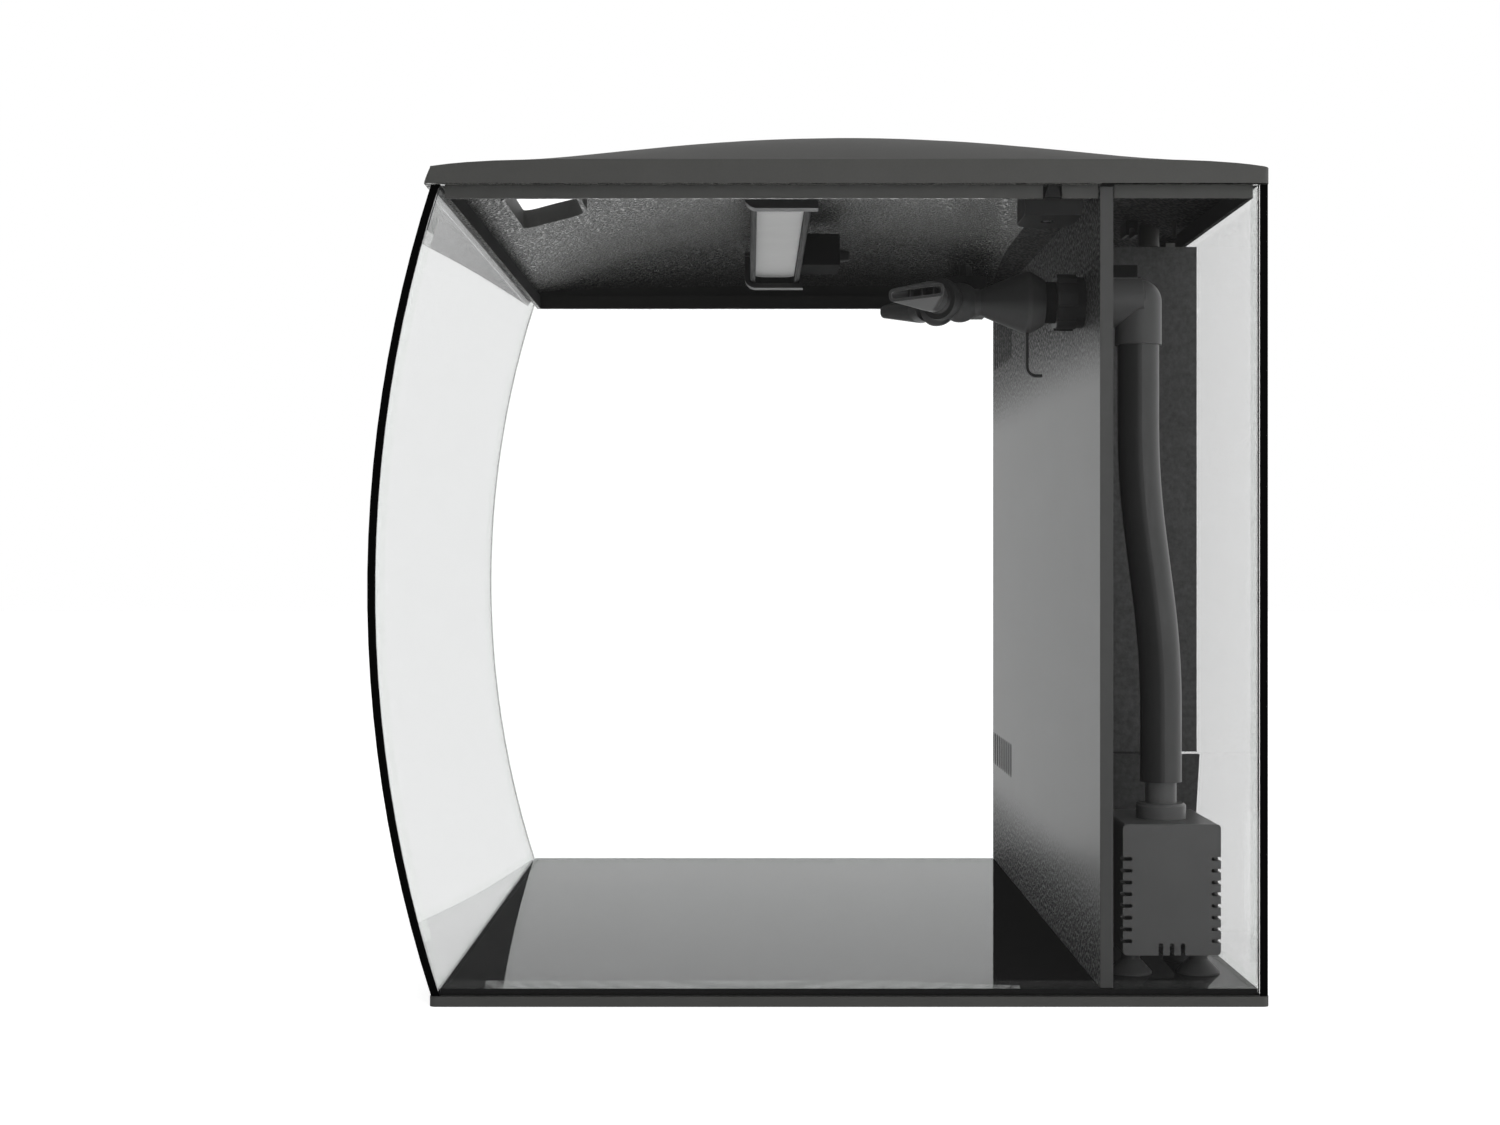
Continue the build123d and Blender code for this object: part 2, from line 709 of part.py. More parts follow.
# Ceramic shaft, which stands still, and the rubber bushes that hold its ends.
with BuildPart() as impeller_shaft:
    with BuildSketch(Plane.YZ.offset(bush_seat + fit)):
        with Locations((pump_y, rotor_z)):
            Circle(shaft_radius)
    extrude(amount=hub_front - bush_seat - fit)
save(impeller_shaft, "impeller_shaft")

with BuildPart() as shaft_bushes:
    rear_bush = (bush_seat, well_start, bush_radius)
    front_bush = (hub_start, hub_front, shaft_radius + hub_wall)
    for start, end, outer in (rear_bush, front_bush):
        bush = ((start, shaft_radius), (start, outer), (end, outer), (end, shaft_radius))
        add(turned(bush, rotor_plane))
save(shaft_bushes, "shaft_bushes")

# Strainer cover on the front of the pump: an open box, slotted round its two upright edges and
# at the bottom.
with BuildPart() as pump_cover:
    cover_back = cover_rear_x + fit
    span_box((cover_back, pump_front_x), (pump_near, pump_far), (pump_bottom, pump_top))
    fillet(pump_cover.edges().filter_by(Axis.X), radius=pump_corner)
    inner_y = (pump_near + cover_wall, pump_far - cover_wall)
    inner_z = (pump_bottom + cover_wall, pump_top - cover_wall)
    span_box((cover_back, pump_front_x - cover_wall), inner_y, inner_z, Mode.SUBTRACT)
    with BuildSketch(Plane.YZ.offset(pump_front_x)):
        slot_middle = pump_top - cover_slot_drop - (cover_slots - 1) * cover_slot_pitch / 2
        for edge_y in (pump_near, pump_far):
            with Locations((edge_y, slot_middle)):
                with GridLocations(1, cover_slot_pitch, 1, cover_slots):
                    SlotOverall(2 * cover_slot_length, cover_slot_height)
        with Locations((pump_y, pump_bottom)):
            with GridLocations(cover_drain_pitch, 1, cover_drain_slots, 1):
                SlotOverall(2 * cover_drain_height, cover_drain_width, rotation=90)
    extrude(amount=-cover_wall - cover_slot_length, mode=Mode.SUBTRACT)
save(pump_cover, "pump_cover")

# Outlet: a ring on the pump's top, a neck, and a barb inside the hose.
hose_foot = pump_top + outlet_ring_height + outlet_neck_height
with BuildPart() as pump_outlet:
    ring_top = pump_top + outlet_ring_height
    outlet_outline = (
        (pump_top - outlet_seat, outlet_bore),
        (pump_top - outlet_seat, outlet_neck_radius),
        (pump_top, outlet_neck_radius),
        (pump_top, outlet_ring_radius),
        (ring_top - 1, outlet_ring_radius),
        (ring_top, outlet_ring_radius - 1),
        (ring_top, outlet_neck_radius),
        (hose_foot + barb_length, outlet_neck_radius),
        (hose_foot + barb_length, outlet_bore),
    )
    add(turned(outlet_outline, upright_plane(outlet_x_pump, pump_y)))
save(pump_outlet, "pump_outlet")

# Four rubber suction cups between the pump and the bottom pane.
with BuildPart() as suction_cups:
    for x in cup_x:
        for y in (pump_y - cup_spacing_y / 2, pump_y + cup_spacing_y / 2):
            cup_outline = (
                (floor_z + cup_hollow, 0),
                (floor_z, cup_radius - cup_lip),
                (floor_z, cup_radius),
                (floor_z + cup_lip, cup_radius),
                (floor_z + cup_shoulder, cup_neck),
                (pump_bottom, cup_neck),
                (pump_bottom, 0),
            )
            add(turned(cup_outline, upright_plane(x, y)))
save(suction_cups, "suction_cups")

# Gland on the pump's rear face, where its cable would leave.
with BuildPart() as pump_gland:
    gland_z = pump_top - 2 * gland_radius
    gland_plane = Plane(origin=(0, pump_y, gland_z), x_dir=(1, 0, 0), z_dir=(0, -1, 0))
    gland_outline = (
        (pump_rear_x - gland_length, gland_bore),
        (pump_rear_x - gland_length, gland_end_radius),
        (pump_rear_x, gland_radius),
        (pump_rear_x, 0),
        (pump_rear_x - 1, 0),
        (pump_rear_x - 1, gland_bore),
    )
    add(turned(gland_outline, gland_plane))
save(pump_gland, "pump_gland")

# ======================================================================== hose, elbow, connector

# Hose: two upright runs joined by a leaning one, over the outlet's barb and into the elbow.
hose_top = outlet_z - elbow_drop + hose_socket
hose_bore = outlet_neck_radius + hose_clearance
with BuildPart() as hose:
    with BuildLine():
        route = FilletPolyline(
            (outlet_x_pump, pump_y, hose_foot),
            (outlet_x_pump, pump_y, hose_bend_low),
            (outlet_x, elbow_y, hose_bend_low + hose_bend_rise),
            (outlet_x, elbow_y, hose_top),
            radius=hose_bend_radius,
        )
    with BuildSketch(Plane(origin=route @ 0, z_dir=route % 0)):
        Circle(hose_radius)
        Circle(hose_bore, mode=Mode.SUBTRACT)
    sweep()
save(hose, "hose")

# Elbow: a socket over the hose, a round corner, and a spigot inside the connector's sleeve.
with BuildPart() as elbow:
    elbow_foot = outlet_z - elbow_drop
    spigot_reach = sleeve_end - sleeve_depth + fit
    with BuildSketch(Plane.XY.offset(elbow_foot)):
        with Locations((outlet_x, elbow_y)):
            Circle(elbow_radius)
    extrude(amount=elbow_drop)
    with Locations((outlet_x, elbow_y, outlet_z)):
        Sphere(elbow_radius)
    elbow_side = (outlet_x - elbow_radius, outlet_x + elbow_radius)
    sleeve_side = (elbow_y - elbow_radius, sleeve_end + fit)
    span_box(elbow_side, sleeve_side, (outlet_z, outlet_z + elbow_radius), Mode.SUBTRACT)
    with BuildSketch(Plane.XZ.offset(-(sleeve_end + fit))):
        with Locations((outlet_x, outlet_z)):
            Circle(sleeve_bore - fit / 2)
    extrude(amount=sleeve_end + fit - spigot_reach)
    for top, radius in ((hose_top + fit, hose_radius + fit / 2), (outlet_z, elbow_bore)):
        with BuildSketch(Plane.XY.offset(elbow_foot)):
            with Locations((outlet_x, elbow_y)):
                Circle(radius)
        extrude(amount=top - elbow_foot, mode=Mode.SUBTRACT)
    with Locations((outlet_x, elbow_y, outlet_z)):
        Sphere(elbow_bore, mode=Mode.SUBTRACT)
    with BuildSketch(Plane.XZ.offset(-elbow_y)):
        with Locations((outlet_x, outlet_z)):
            Circle(elbow_bore)
    extrude(amount=elbow_y - spigot_reach, mode=Mode.SUBTRACT)
save(elbow, "elbow")

# Wall connector: a smooth spigot for the turning outlet, a neck through the wall, a flange
# against the gasket and a sleeve for the elbow, with a locking lug on top. The sleeve is cut
# away below round the elbow's upright leg.
gasket_rear = wall_rear + gasket_thickness
with BuildPart() as wall_connector:
    groove_radius = spigot_radius - ring_groove_depth
    connector_outline = (
        (spigot_front, connector_bore),
        (spigot_front, spigot_radius - 0.5),
        (spigot_front + 0.5, spigot_radius),
        (ring_groove[0], spigot_radius),
        (ring_groove[0], groove_radius),
        (ring_groove[1], groove_radius),
        (ring_groove[1], spigot_radius),
        (spigot_end, spigot_radius),
        (spigot_end, neck_radius),
        (gasket_rear, neck_radius),
        (gasket_rear, flange_radius),
        (gasket_rear + flange_thickness, flange_radius),
        (gasket_rear + flange_thickness, sleeve_radius),
        (sleeve_end, sleeve_radius),
        (sleeve_end, sleeve_bore),
        (sleeve_end - sleeve_depth, sleeve_bore),
        (sleeve_end - sleeve_depth, connector_bore),
    )
    add(turned(connector_outline, outlet_plane))
    lug_x = (outlet_x - lug_width / 2, outlet_x + lug_width / 2)
    lug_y = (gasket_rear, sleeve_end - flange_thickness)
    span_box(lug_x, lug_y, (outlet_z + lug_low, outlet_z + lug_high))
    with BuildSketch(Plane.XY.offset(outlet_z)):
        with Locations((outlet_x, elbow_y)):
            Circle(elbow_radius + fit)
    extrude(amount=-elbow_drop, mode=Mode.SUBTRACT)
save(wall_connector, "wall_connector")

with BuildPart() as gasket:
    with BuildSketch(Plane.XZ.offset(-gasket_rear)):
        with Locations((outlet_x, outlet_z)):
            Circle(flange_radius)
            Circle(neck_radius + fit / 2, mode=Mode.SUBTRACT)
    extrude(amount=gasket_thickness)
save(gasket, "gasket")

# O-ring in the groove of the spigot: it takes up the turning outlet's clearance.
with BuildPart() as outlet_ring:
    ring_section = (spigot_radius + turn_clearance / 2 - groove_radius) / 2
    ring_middle = (ring_groove[0] + ring_groove[1]) / 2
    with BuildSketch(outlet_plane):
        with Locations((ring_middle, groove_radius + ring_section)):
            Circle(ring_section)
    revolve(axis=Axis(outlet_plane.origin, outlet_plane.x_dir))
save(outlet_ring, "outlet_ring")

# Lock nut on the front of the wall, with lugs for the fingers.
with BuildPart() as lock_nut:
    with BuildSketch(Plane.XZ.offset(-wall_front)):
        with Locations((outlet_x, outlet_z)):
            Circle(nut_radius)
            Circle(neck_radius + fit / 2, mode=Mode.SUBTRACT)
    extrude(amount=nut_length)
    with BuildSketch(Plane.XZ.offset(-wall_front + nut_length - nut_lug_length)):
        with Locations((outlet_x, outlet_z)):
            with PolarLocations(0, nut_lugs):
                with Locations((nut_lug_radius - nut_lug_width / 2, 0)):
                    Rectangle(nut_lug_width, nut_lug_width)
            Circle(nut_lug_radius, mode=Mode.INTERSECT)
            Circle(nut_radius - 0.5, mode=Mode.SUBTRACT)
    extrude(amount=nut_lug_length)
save(lock_nut, "lock_nut")

# ======================================================================== turning twin outlet

# Cone that turns on the connector's spigot, with a hooked strap to grip it by.
with BuildPart() as outlet_cone:
    cone_outline = (
        (cone_tip, cone_bore),
        (cone_tip, cone_tip_radius),
        (cone_rim[0], cone_rim_radius),
        (cone_rim[1], cone_rim_radius),
        (cone_back, cone_back_radius),
        (cone_back, neck_radius + turn_clearance),
        (spigot_end - fit, neck_radius + turn_clearance),
        (spigot_end - fit, spigot_radius + turn_clearance),
        (spigot_front - fit, spigot_radius + turn_clearance),
        (spigot_front - fit, cone_bore),
    )
    add(turned(cone_outline, outlet_plane))
    with BuildSketch(outlet_plane):
        with BuildLine():
            FilletPolyline(
                (lever_y, -(cone_rim_radius + spigot_radius) / 2),
                (lever_y, -lever_drop),
                (lever_toe_y, -lever_drop),
                radius=lever_bend,
            )
        trace(line_width=lever_thickness)
    extrude(amount=lever_width / 2, both=True)
save(outlet_cone, "outlet_cone")

fork_centre = Vector(outlet_x, fork_y, outlet_z)


def pointing(side, angle):
    """Unit vector to one side, turned forward by this angle."""
    return Vector(side * cos(radians(angle)), -sin(radians(angle)), 0)


def ball_centre(side):
    """Centre of the ball joint at the end of a fork arm."""
    return fork_centre + pointing(side, arm_angle) * arm_reach


def nozzle_plane(side, distance):
    """Plane across a flat nozzle, at this distance from the centre of its ball, with X level."""
    along = pointing(side, nozzle_angle)
    return Plane(origin=ball_centre(side) + along * distance, x_dir=(-along.Y, along.X, 0), z_dir=along)


def turning_plane(side, angle):
    """Plane of a piece turned about an arm or nozzle: local X runs outwards from its ball's centre."""
    return Plane(origin=ball_centre(side), x_dir=pointing(side, angle), z_dir=(0, 0, 1))


def reach(sphere, distance):
    """Other leg of the right triangle with this sphere's radius and this distance."""
    return sqrt(sphere**2 - distance**2)


# Fork in front of the cone: a stem, two arms, and an open socket at the end of each.
socket_in = ball_radius + ball_clearance
socket_out = socket_in + socket_wall
stem_radius_out = cone_tip_radius + fork_bead
tenon_end = cone_tip + tenon_length
with BuildPart() as fork:
    stem_outline = (
        (fork_y, 0),
        (fork_y, stem_radius_out),
        (cone_tip, stem_radius_out),
        (cone_tip, cone_bore - turn_clearance),
        (tenon_end, cone_bore - turn_clearance),
        (tenon_end, 0),
    )
    add(turned(stem_outline, outlet_plane))
    with Locations(fork_centre):
        Sphere(fork_radius, rotation=(0, 0, -90))
    arm_end = (-reach(socket_out, arm_radius), arm_radius)
    lip_out = (socket_lip, reach(socket_out, socket_lip))
    lip_in = (socket_lip, reach(socket_in, socket_lip))
    bore_end = (-reach(socket_in, fork_bore), fork_bore)
    for side in sides:
        with BuildSketch(turning_plane(side, arm_angle)):
            with BuildLine():
                Polyline(arm_end, (-arm_reach, arm_radius), (-arm_reach, 0), (socket_lip, 0), lip_out)
                ThreePointArc(lip_out, (0, socket_out), arm_end)
            make_face()
        revolve(axis=Axis(ball_centre(side), pointing(side, arm_angle)))
    for side in sides:
        beyond = socket_lip + socket_wall
        with BuildSketch(turning_plane(side, arm_angle)):
            with BuildLine():
                Polyline(bore_end, (-arm_reach, fork_bore), (-arm_reach, 0), (beyond, 0))
                Polyline((beyond, 0), (beyond, lip_in[1]), lip_in)
                ThreePointArc(lip_in, (0, socket_in), bore_end)
            make_face()
        revolve(axis=Axis(ball_centre(side), pointing(side, arm_angle)), mode=Mode.SUBTRACT)
    with BuildSketch(Plane.XZ.offset(-fork_y)):
        with Locations((outlet_x, outlet_z)):
            Circle(fork_bore)
    extrude(amount=fork_y - tenon_end, mode=Mode.SUBTRACT)
save(fork, "fork")


def mouth_section(width, height, corner, side):
    """Rounded section of a flat nozzle, turned by the nozzle's twist."""
    RectangleRounded(width, height, corner, rotation=side * nozzle_twist)


for side in sides:
    # Ball with a tube, which swings in the fork's socket.
    with BuildPart() as nozzle_ball:
        bore_rear = (-reach(ball_radius, ball_bore), ball_bore)
        tube_foot = (reach(ball_radius, ball_tube_radius), ball_tube_radius)
        with BuildSketch(turning_plane(side, nozzle_angle)):
            with BuildLine():
                ThreePointArc(bore_rear, (0, ball_radius), tube_foot)
                Polyline(tube_foot, (ball_tube_end, ball_tube_radius), (ball_tube_end, ball_bore), bore_rear)
            make_face()
        revolve(axis=Axis(ball_centre(side), pointing(side, nozzle_angle)))
    save(nozzle_ball, side_name(side, "nozzle_ball"))

    # Flat nozzle: a sleeve on the ball's tube that widens into a flat mouth with small vanes.
    with BuildPart() as flat_nozzle:
        with BuildSketch(nozzle_plane(side, nozzle_start)):
            Circle(nozzle_neck)
        extrude(amount=nozzle_loft - nozzle_start)
        with BuildSketch(nozzle_plane(side, nozzle_loft)):
            mouth_section(2 * nozzle_neck, 2 * nozzle_neck, nozzle_neck * neck_corner, side)
        with BuildSketch(nozzle_plane(side, nozzle_mouth)):
            mouth_section(mouth_width, mouth_height, mouth_height * mouth_corner, side)
        loft()
        sleeve_in = ball_tube_radius + ball_clearance
        with BuildSketch(nozzle_plane(side, nozzle_start)):
            Circle(sleeve_in)
        extrude(amount=nozzle_loft - nozzle_start, mode=Mode.SUBTRACT)
        with BuildSketch(nozzle_plane(side, nozzle_loft)):
            mouth_section(2 * sleeve_in, 2 * sleeve_in, sleeve_in * neck_corner, side)
        inner_height = mouth_height - 2 * mouth_wall
        inner_width = mouth_width - 2 * mouth_wall
        with BuildSketch(nozzle_plane(side, nozzle_mouth)):
            mouth_section(inner_width, inner_height, inner_height * mouth_corner, side)
        loft(mode=Mode.SUBTRACT)
        vane_rear = (vane_recess + vane_length) / (nozzle_mouth - nozzle_loft)
        vane_height = inner_height + (2 * sleeve_in - inner_height) * vane_rear + mouth_wall / 2
        with BuildSketch(nozzle_plane(side, nozzle_mouth - vane_recess)):
            with Locations(Rotation(0, 0, side * nozzle_twist)):
                with GridLocations(vane_pitch, 1, vane_count, 1):
                    Rectangle(vane_thickness, vane_height)
        extrude(amount=-vane_length)
    save(flat_nozzle, side_name(side, "flat_nozzle"))

# ======================================================================== lid


def dome_height(x, y):
    """Height of the lid's top: a rim that falls towards front and rear, and a dome on it."""
    middle = (lid_front + rear_y) / 2
    end = abs((y - middle) / (rear_y - middle))
    across = 1 - (abs(x) / end_x) ** dome_side_power
    along = 1 - ((y - dome_centre_y) / dome_half_depth) ** 2
    arch = (along + sqrt(along**2 + dome_blend**2)) / 2
    return rim_top - rim_fall * end**rim_fall_power + dome_rise * across * arch


def spaced(low, high, count):
    """Values from low to high, closer together at both ends."""
    return [low + (high - low) * (1 - cos(pi * i / (count - 1))) / 2 for i in range(count)]


def dome_face(drop):
    """The lid's top as one smooth face, lowered by drop, a little larger than the lid."""
    margin = 2 * lid_wall
    rows = []
    for x in spaced(-end_x - margin, end_x + margin, dome_point_count):
        columns = spaced(lid_front - margin, rear_y + margin, dome_point_count)
        rows.append([Vector(x, y, dome_height(x, y) - drop) for y in columns])
    return Face.make_surface_from_array_of_points(rows, tol=0.01, max_deg=3)


def under_dome(inset, bottom, drop):
    """Upright block of the lid's outline, moved in by inset, from bottom up to the lowered top."""
    size = (width - 2 * inset, rear_y - lid_front - 2 * inset)
    corner = max(trim_corner - inset, 1.0)
    with BuildPart(mode=Mode.PRIVATE) as block:
        with BuildSketch(Plane.XY.offset(bottom)):
            with Locations((0, (lid_front + rear_y) / 2)):
                RectangleRounded(*size, corner)
        extrude(amount=rim_top + 2 * dome_rise - bottom)
        split(bisect_by=dome_face(drop), keep=Keep.BOTTOM)
    return block.part


# Lid: one moulding with an upright rim, a seat on the glass, a skirt inside the glass and a
# domed top with the feed hole in it. Posts underneath take the screws.
flange_x = skirt_x - skirt_wall
catch_x = (catch_inner_x + flange_x - fit) / 2
post_x = lamp_half_length + bracket_wall - bracket_foot / 2
tab_y = catch_y - catch_tab_shift
post_rows = [(lamp_front + lamp_rear) / 2 + i * screw_spacing_y / 2 for i in (-1, 1)]
catch_post_bottom = catch_bottom + 2 * catch_wall
with BuildPart() as lid_shell:
    add(under_dome(0, rim_bottom, 0))
    add(under_dome(lid_wall, rim_bottom + seat_thickness, lid_wall), mode=Mode.SUBTRACT)
    skirt_size = (2 * skirt_x, skirt_rear - skirt_front)
    skirt_middle = (skirt_front + skirt_rear) / 2
    with BuildSketch(Plane.XY.offset(skirt_bottom)):
        with Locations((0, skirt_middle)):
            Rectangle(*skirt_size)
    extrude(amount=skirt_depth)
    with BuildSketch(Plane.XY.offset(skirt_bottom)):
        with Locations((0, skirt_middle)):
            Rectangle(skirt_size[0] - 2 * skirt_wall, skirt_size[1] - 2 * skirt_wall)
    extrude(amount=skirt_depth + seat_thickness, mode=Mode.SUBTRACT)
    # Front of the rim leans back.
    with BuildSketch(Plane.YZ):
        with BuildLine():
            Polyline(
                (lid_front, rim_top - rim_fall - front_lean[1]),
                (lid_front + front_lean[0], rim_top - rim_fall),
                (lid_front + front_lean[0], rim_top),
                (lid_front, rim_top),
                close=True,
            )
        make_face()
    extrude(amount=end_x, both=True, mode=Mode.SUBTRACT)
    # Feed hole with its collar, which follows the dome.
    with BuildPart(mode=Mode.PRIVATE) as collar:
        with BuildSketch(Plane.XY.offset(rim_bottom)):
            with Locations(feed_centre):
                collar_size = [side + 2 * feed_collar for side in feed_size]
                RectangleRounded(*collar_size, feed_corner + feed_collar)
        extrude(amount=lid_rim_height + 2 * dome_rise)
        split(bisect_by=dome_face(lid_wall / 2), keep=Keep.BOTTOM)
        split(bisect_by=dome_face(feed_collar_depth), keep=Keep.TOP)
    add(collar.part)
    with BuildSketch(Plane.XY.offset(rim_bottom)):
        with Locations(feed_centre):
            RectangleRounded(*feed_size, feed_corner)
    extrude(amount=lid_rim_height + 2 * dome_rise, mode=Mode.SUBTRACT)
    # Posts for the screws of the lamp's brackets and of the catches, each with a pilot hole.
    posts = [(side * post_x, y, bracket_top) for side in sides for y in post_rows]
    posts += [(side * catch_x, catch_y, catch_post_bottom) for side in sides]
    for x, y, bottom in posts:
        post_height = dome_height(x, y) - lid_wall / 2 - bottom
        with BuildSketch(Plane.XY.offset(bottom)):
            with Locations((x, y)):
                Circle(post_radius)
        extrude(amount=post_height)
        with BuildSketch(Plane.XY.offset(bottom)):
            with Locations((x, y)):
                Circle(pilot_radius)
        extrude(amount=post_height - lid_wall, mode=Mode.SUBTRACT)
    # Round boss and thin rod under the rear of the lid.
    for (x, y), radius in ((boss_centre, boss_radius), (rod_centre, rod_radius)):
        with BuildSketch(Plane.XY.offset(boss_bottom)):
            with Locations((x, y)):
                Circle(radius)
        extrude(amount=dome_height(x, y) - lid_wall / 2 - boss_bottom)
    # Notches in the skirt, over the compartment wall and for the tabs of the catches.
    for side in sides:
        notch_x = (side * skirt_x - 2 * skirt_wall, side * skirt_x + 2 * skirt_wall)
        for middle, length in (((wall_front + wall_rear) / 2, wall_thickness), (tab_y, catch_tab[0])):
            notch_y = (middle - length / 2 - 2 * fit, middle + length / 2 + 2 * fit)
            span_box(notch_x, notch_y, (skirt_bottom, rim_bottom), Mode.SUBTRACT)
    # Notch in the rear rim, seat and skirt, where the cables leave.
    cable_notch_y = (skirt_rear - 2 * skirt_wall, rear_y)
    span_box(cable_notch_x, cable_notch_y, (skirt_bottom, glass_top + cable_notch_height), Mode.SUBTRACT)
save(lid_shell, "lid_shell")

# Catch at each side: a pot with a round inner end, screwed up to its post, with a tab that
# passes through the skirt and rubs on the side pane.
for side in sides:
    with BuildPart() as lid_catch:
        outer_x = flange_x - fit
        round_x = catch_inner_x + catch_width / 2
        for inset, mode in ((0, Mode.ADD), (catch_wall, Mode.SUBTRACT)):
            straight = outer_x - inset - round_x
            with BuildSketch(Plane.XY.offset(catch_bottom + inset)):
                with Locations((side * round_x, catch_y)):
                    Circle(catch_width / 2 - inset)
                with Locations((side * (round_x + straight / 2), catch_y)):
                    Rectangle(straight, catch_width - 2 * inset)
            extrude(amount=catch_height - inset, mode=mode)
        with BuildSketch(Plane.XY.offset(catch_bottom + catch_wall / 2)):
            with Locations((side * catch_x, catch_y)):
                Circle(catch_boss)
        extrude(amount=catch_post_bottom - catch_bottom - catch_wall / 2)
        head_recess = (screw_head + fit, screw_head_radius + fit)
        screw_hole = (2 * catch_wall, screw_radius + fit)
        for depth_up, radius in (head_recess, screw_hole):
            with BuildSketch(Plane.XY.offset(catch_bottom)):
                with Locations((side * catch_x, catch_y)):
                    Circle(radius)
            extrude(amount=depth_up, mode=Mode.SUBTRACT)
        with BuildSketch(Plane.YZ.offset(side * outer_x)):
            tab_foot = skirt_bottom + fit
            tab_top = rim_bottom - fit
            with BuildLine():
                Polyline(
                    (tab_y - catch_tab[0] / 2, tab_foot),
                    (tab_y + catch_tab[0] / 2, tab_foot),
                    (tab_y + catch_tab[1] / 2, tab_top),
                    (tab_y - catch_tab[1] / 2, tab_top),
                    close=True,
                )
            make_face()
        extrude(amount=side * (side_in - 2 * fit - outer_x))
    save(lid_catch, side_name(side, "lid_catch"))


def screw(x, y, seat):
    """Pan-head screw that points up, with its head under the height of its seat."""
    outline = (
        (seat - screw_head, 0),
        (seat - screw_head, screw_crown_radius),
        (seat - screw_head + screw_crown, screw_head_radius),
        (seat, screw_head_radius),
        (seat, screw_radius),
        (seat + screw_length, screw_radius),
        (seat + screw_length, 0),
    )
    return turned(outline, upright_plane(x, y))


with BuildPart() as catch_screws:
    for side in sides:
        add(screw(side * catch_x, catch_y, catch_bottom + screw_head + fit))
save(catch_screws, "catch_screws")

# Small clip under the lid's rear that would hold the lamp's cable.
with BuildPart() as cable_clip:
    clip_top = dome_height(clip_x[1], clip_y[1]) - lid_wall - fit
    span_box(clip_x, clip_y, (clip_bottom, clip_top))
    clip_middle = (clip_y[0] + clip_y[1]) / 2
    with BuildSketch(Plane.YZ.offset(clip_x[0])):
        with Locations((clip_middle, clip_bottom)):
            SlotOverall(clip_top - clip_bottom, clip_y[1] - clip_middle, rotation=90)
    extrude(amount=clip_x[1] - clip_x[0], mode=Mode.SUBTRACT)
save(cable_clip, "cable_clip")

# ======================================================================== lamp

lamp_middle = (lamp_front + lamp_rear) / 2
lamp_width = lamp_rear - lamp_front
lamp_top = lamp_bottom + lamp_height


def lamp_slab(inset, low, high):
    """Flat slab with the lamp's rounded outline, moved in by inset."""
    with BuildPart(mode=Mode.PRIVATE) as slab:
        with BuildSketch(Plane.XY.offset(low)):
            with Locations((0, lamp_middle)):
                slab_size = (2 * (lamp_half_length - inset), lamp_width - 2 * inset)
                RectangleRounded(*slab_size, lamp_end_corner - inset)
        extrude(amount=high - low)
    return slab


# Housing: a long channel with rounded ends, open underneath.
with BuildPart() as lamp_housing:
    add(lamp_slab(0, lamp_bottom, lamp_top).part)
    lower_edges = lamp_housing.edges().filter_by(Axis.X).group_by(Axis.Z)[0]
    fillet(lower_edges, radius=lamp_rim_round)
    add(lamp_slab(lamp_rim, lamp_bottom, lamp_top - lamp_wall).part, mode=Mode.SUBTRACT)
save(lamp_housing, "lamp_housing")

# Diffuser, a white strip set back inside the housing.
diffuser_bottom = lamp_bottom + diffuser_recess
save(lamp_slab(lamp_rim + fit / 2, diffuser_bottom, diffuser_bottom + diffuser_thickness), "lamp_diffuser")

# Circuit board under the housing's top, with a row of light-emitting diodes on it.
board_bottom = lamp_top - lamp_wall - board_thickness
save(lamp_slab(lamp_rim + fit, board_bottom, board_bottom + board_thickness), "lamp_board")

board_half_length = lamp_half_length - lamp_rim - fit
led_pitch = (2 * (board_half_length - led_end) - led_size) / (led_count - 1)
with BuildPart() as lamp_leds:
    with BuildSketch(Plane.XY.offset(board_bottom)):
        with Locations((0, lamp_middle)):
            with GridLocations(led_pitch, 1, led_count, 1):
                Rectangle(led_size, led_size)
    extrude(amount=-led_height)
save(lamp_leds, "lamp_leds")

# Bracket at each end: a sleeve closed behind the housing's end, and a foot under the posts.
grip_x = lamp_half_length - bracket_grip
for side in sides:
    with BuildPart() as bracket:
        bracket_x = sorted((side * grip_x, side * (lamp_half_length + bracket_wall)))
        span_box(bracket_x, (bracket_front, bracket_rear), (bracket_bottom, bracket_top))
        lower_edge = bracket.edges().filter_by(Axis.X).group_by(Axis.Z)[0].sort_by(Axis.Y)[0]
        fillet(lower_edge, radius=bracket_corner)
        lamp_room = ((lamp_front - fit, lamp_rear + fit), (lamp_bottom - fit, bracket_top - bracket_wall))
        span_box(sorted((side * grip_x, side * lamp_half_length)), *lamp_room, Mode.SUBTRACT)
        foot_x = sorted((side * lamp_half_length, side * (post_x - bracket_foot / 2)))
        span_box(foot_x, (bracket_front, bracket_rear), (bracket_top - bracket_wall, bracket_top))
        with BuildSketch(Plane.XY.offset(bracket_top)):
            for y in post_rows:
                with Locations((side * post_x, y)):
                    Circle(screw_radius + fit / 2)
        extrude(amount=-bracket_wall, mode=Mode.SUBTRACT)
    save(bracket, side_name(side, "lamp_bracket"))

with BuildPart() as bracket_screws:
    for side in sides:
        for y in post_rows:
            add(screw(side * post_x, y, bracket_top - bracket_wall))
save(bracket_screws, "bracket_screws")

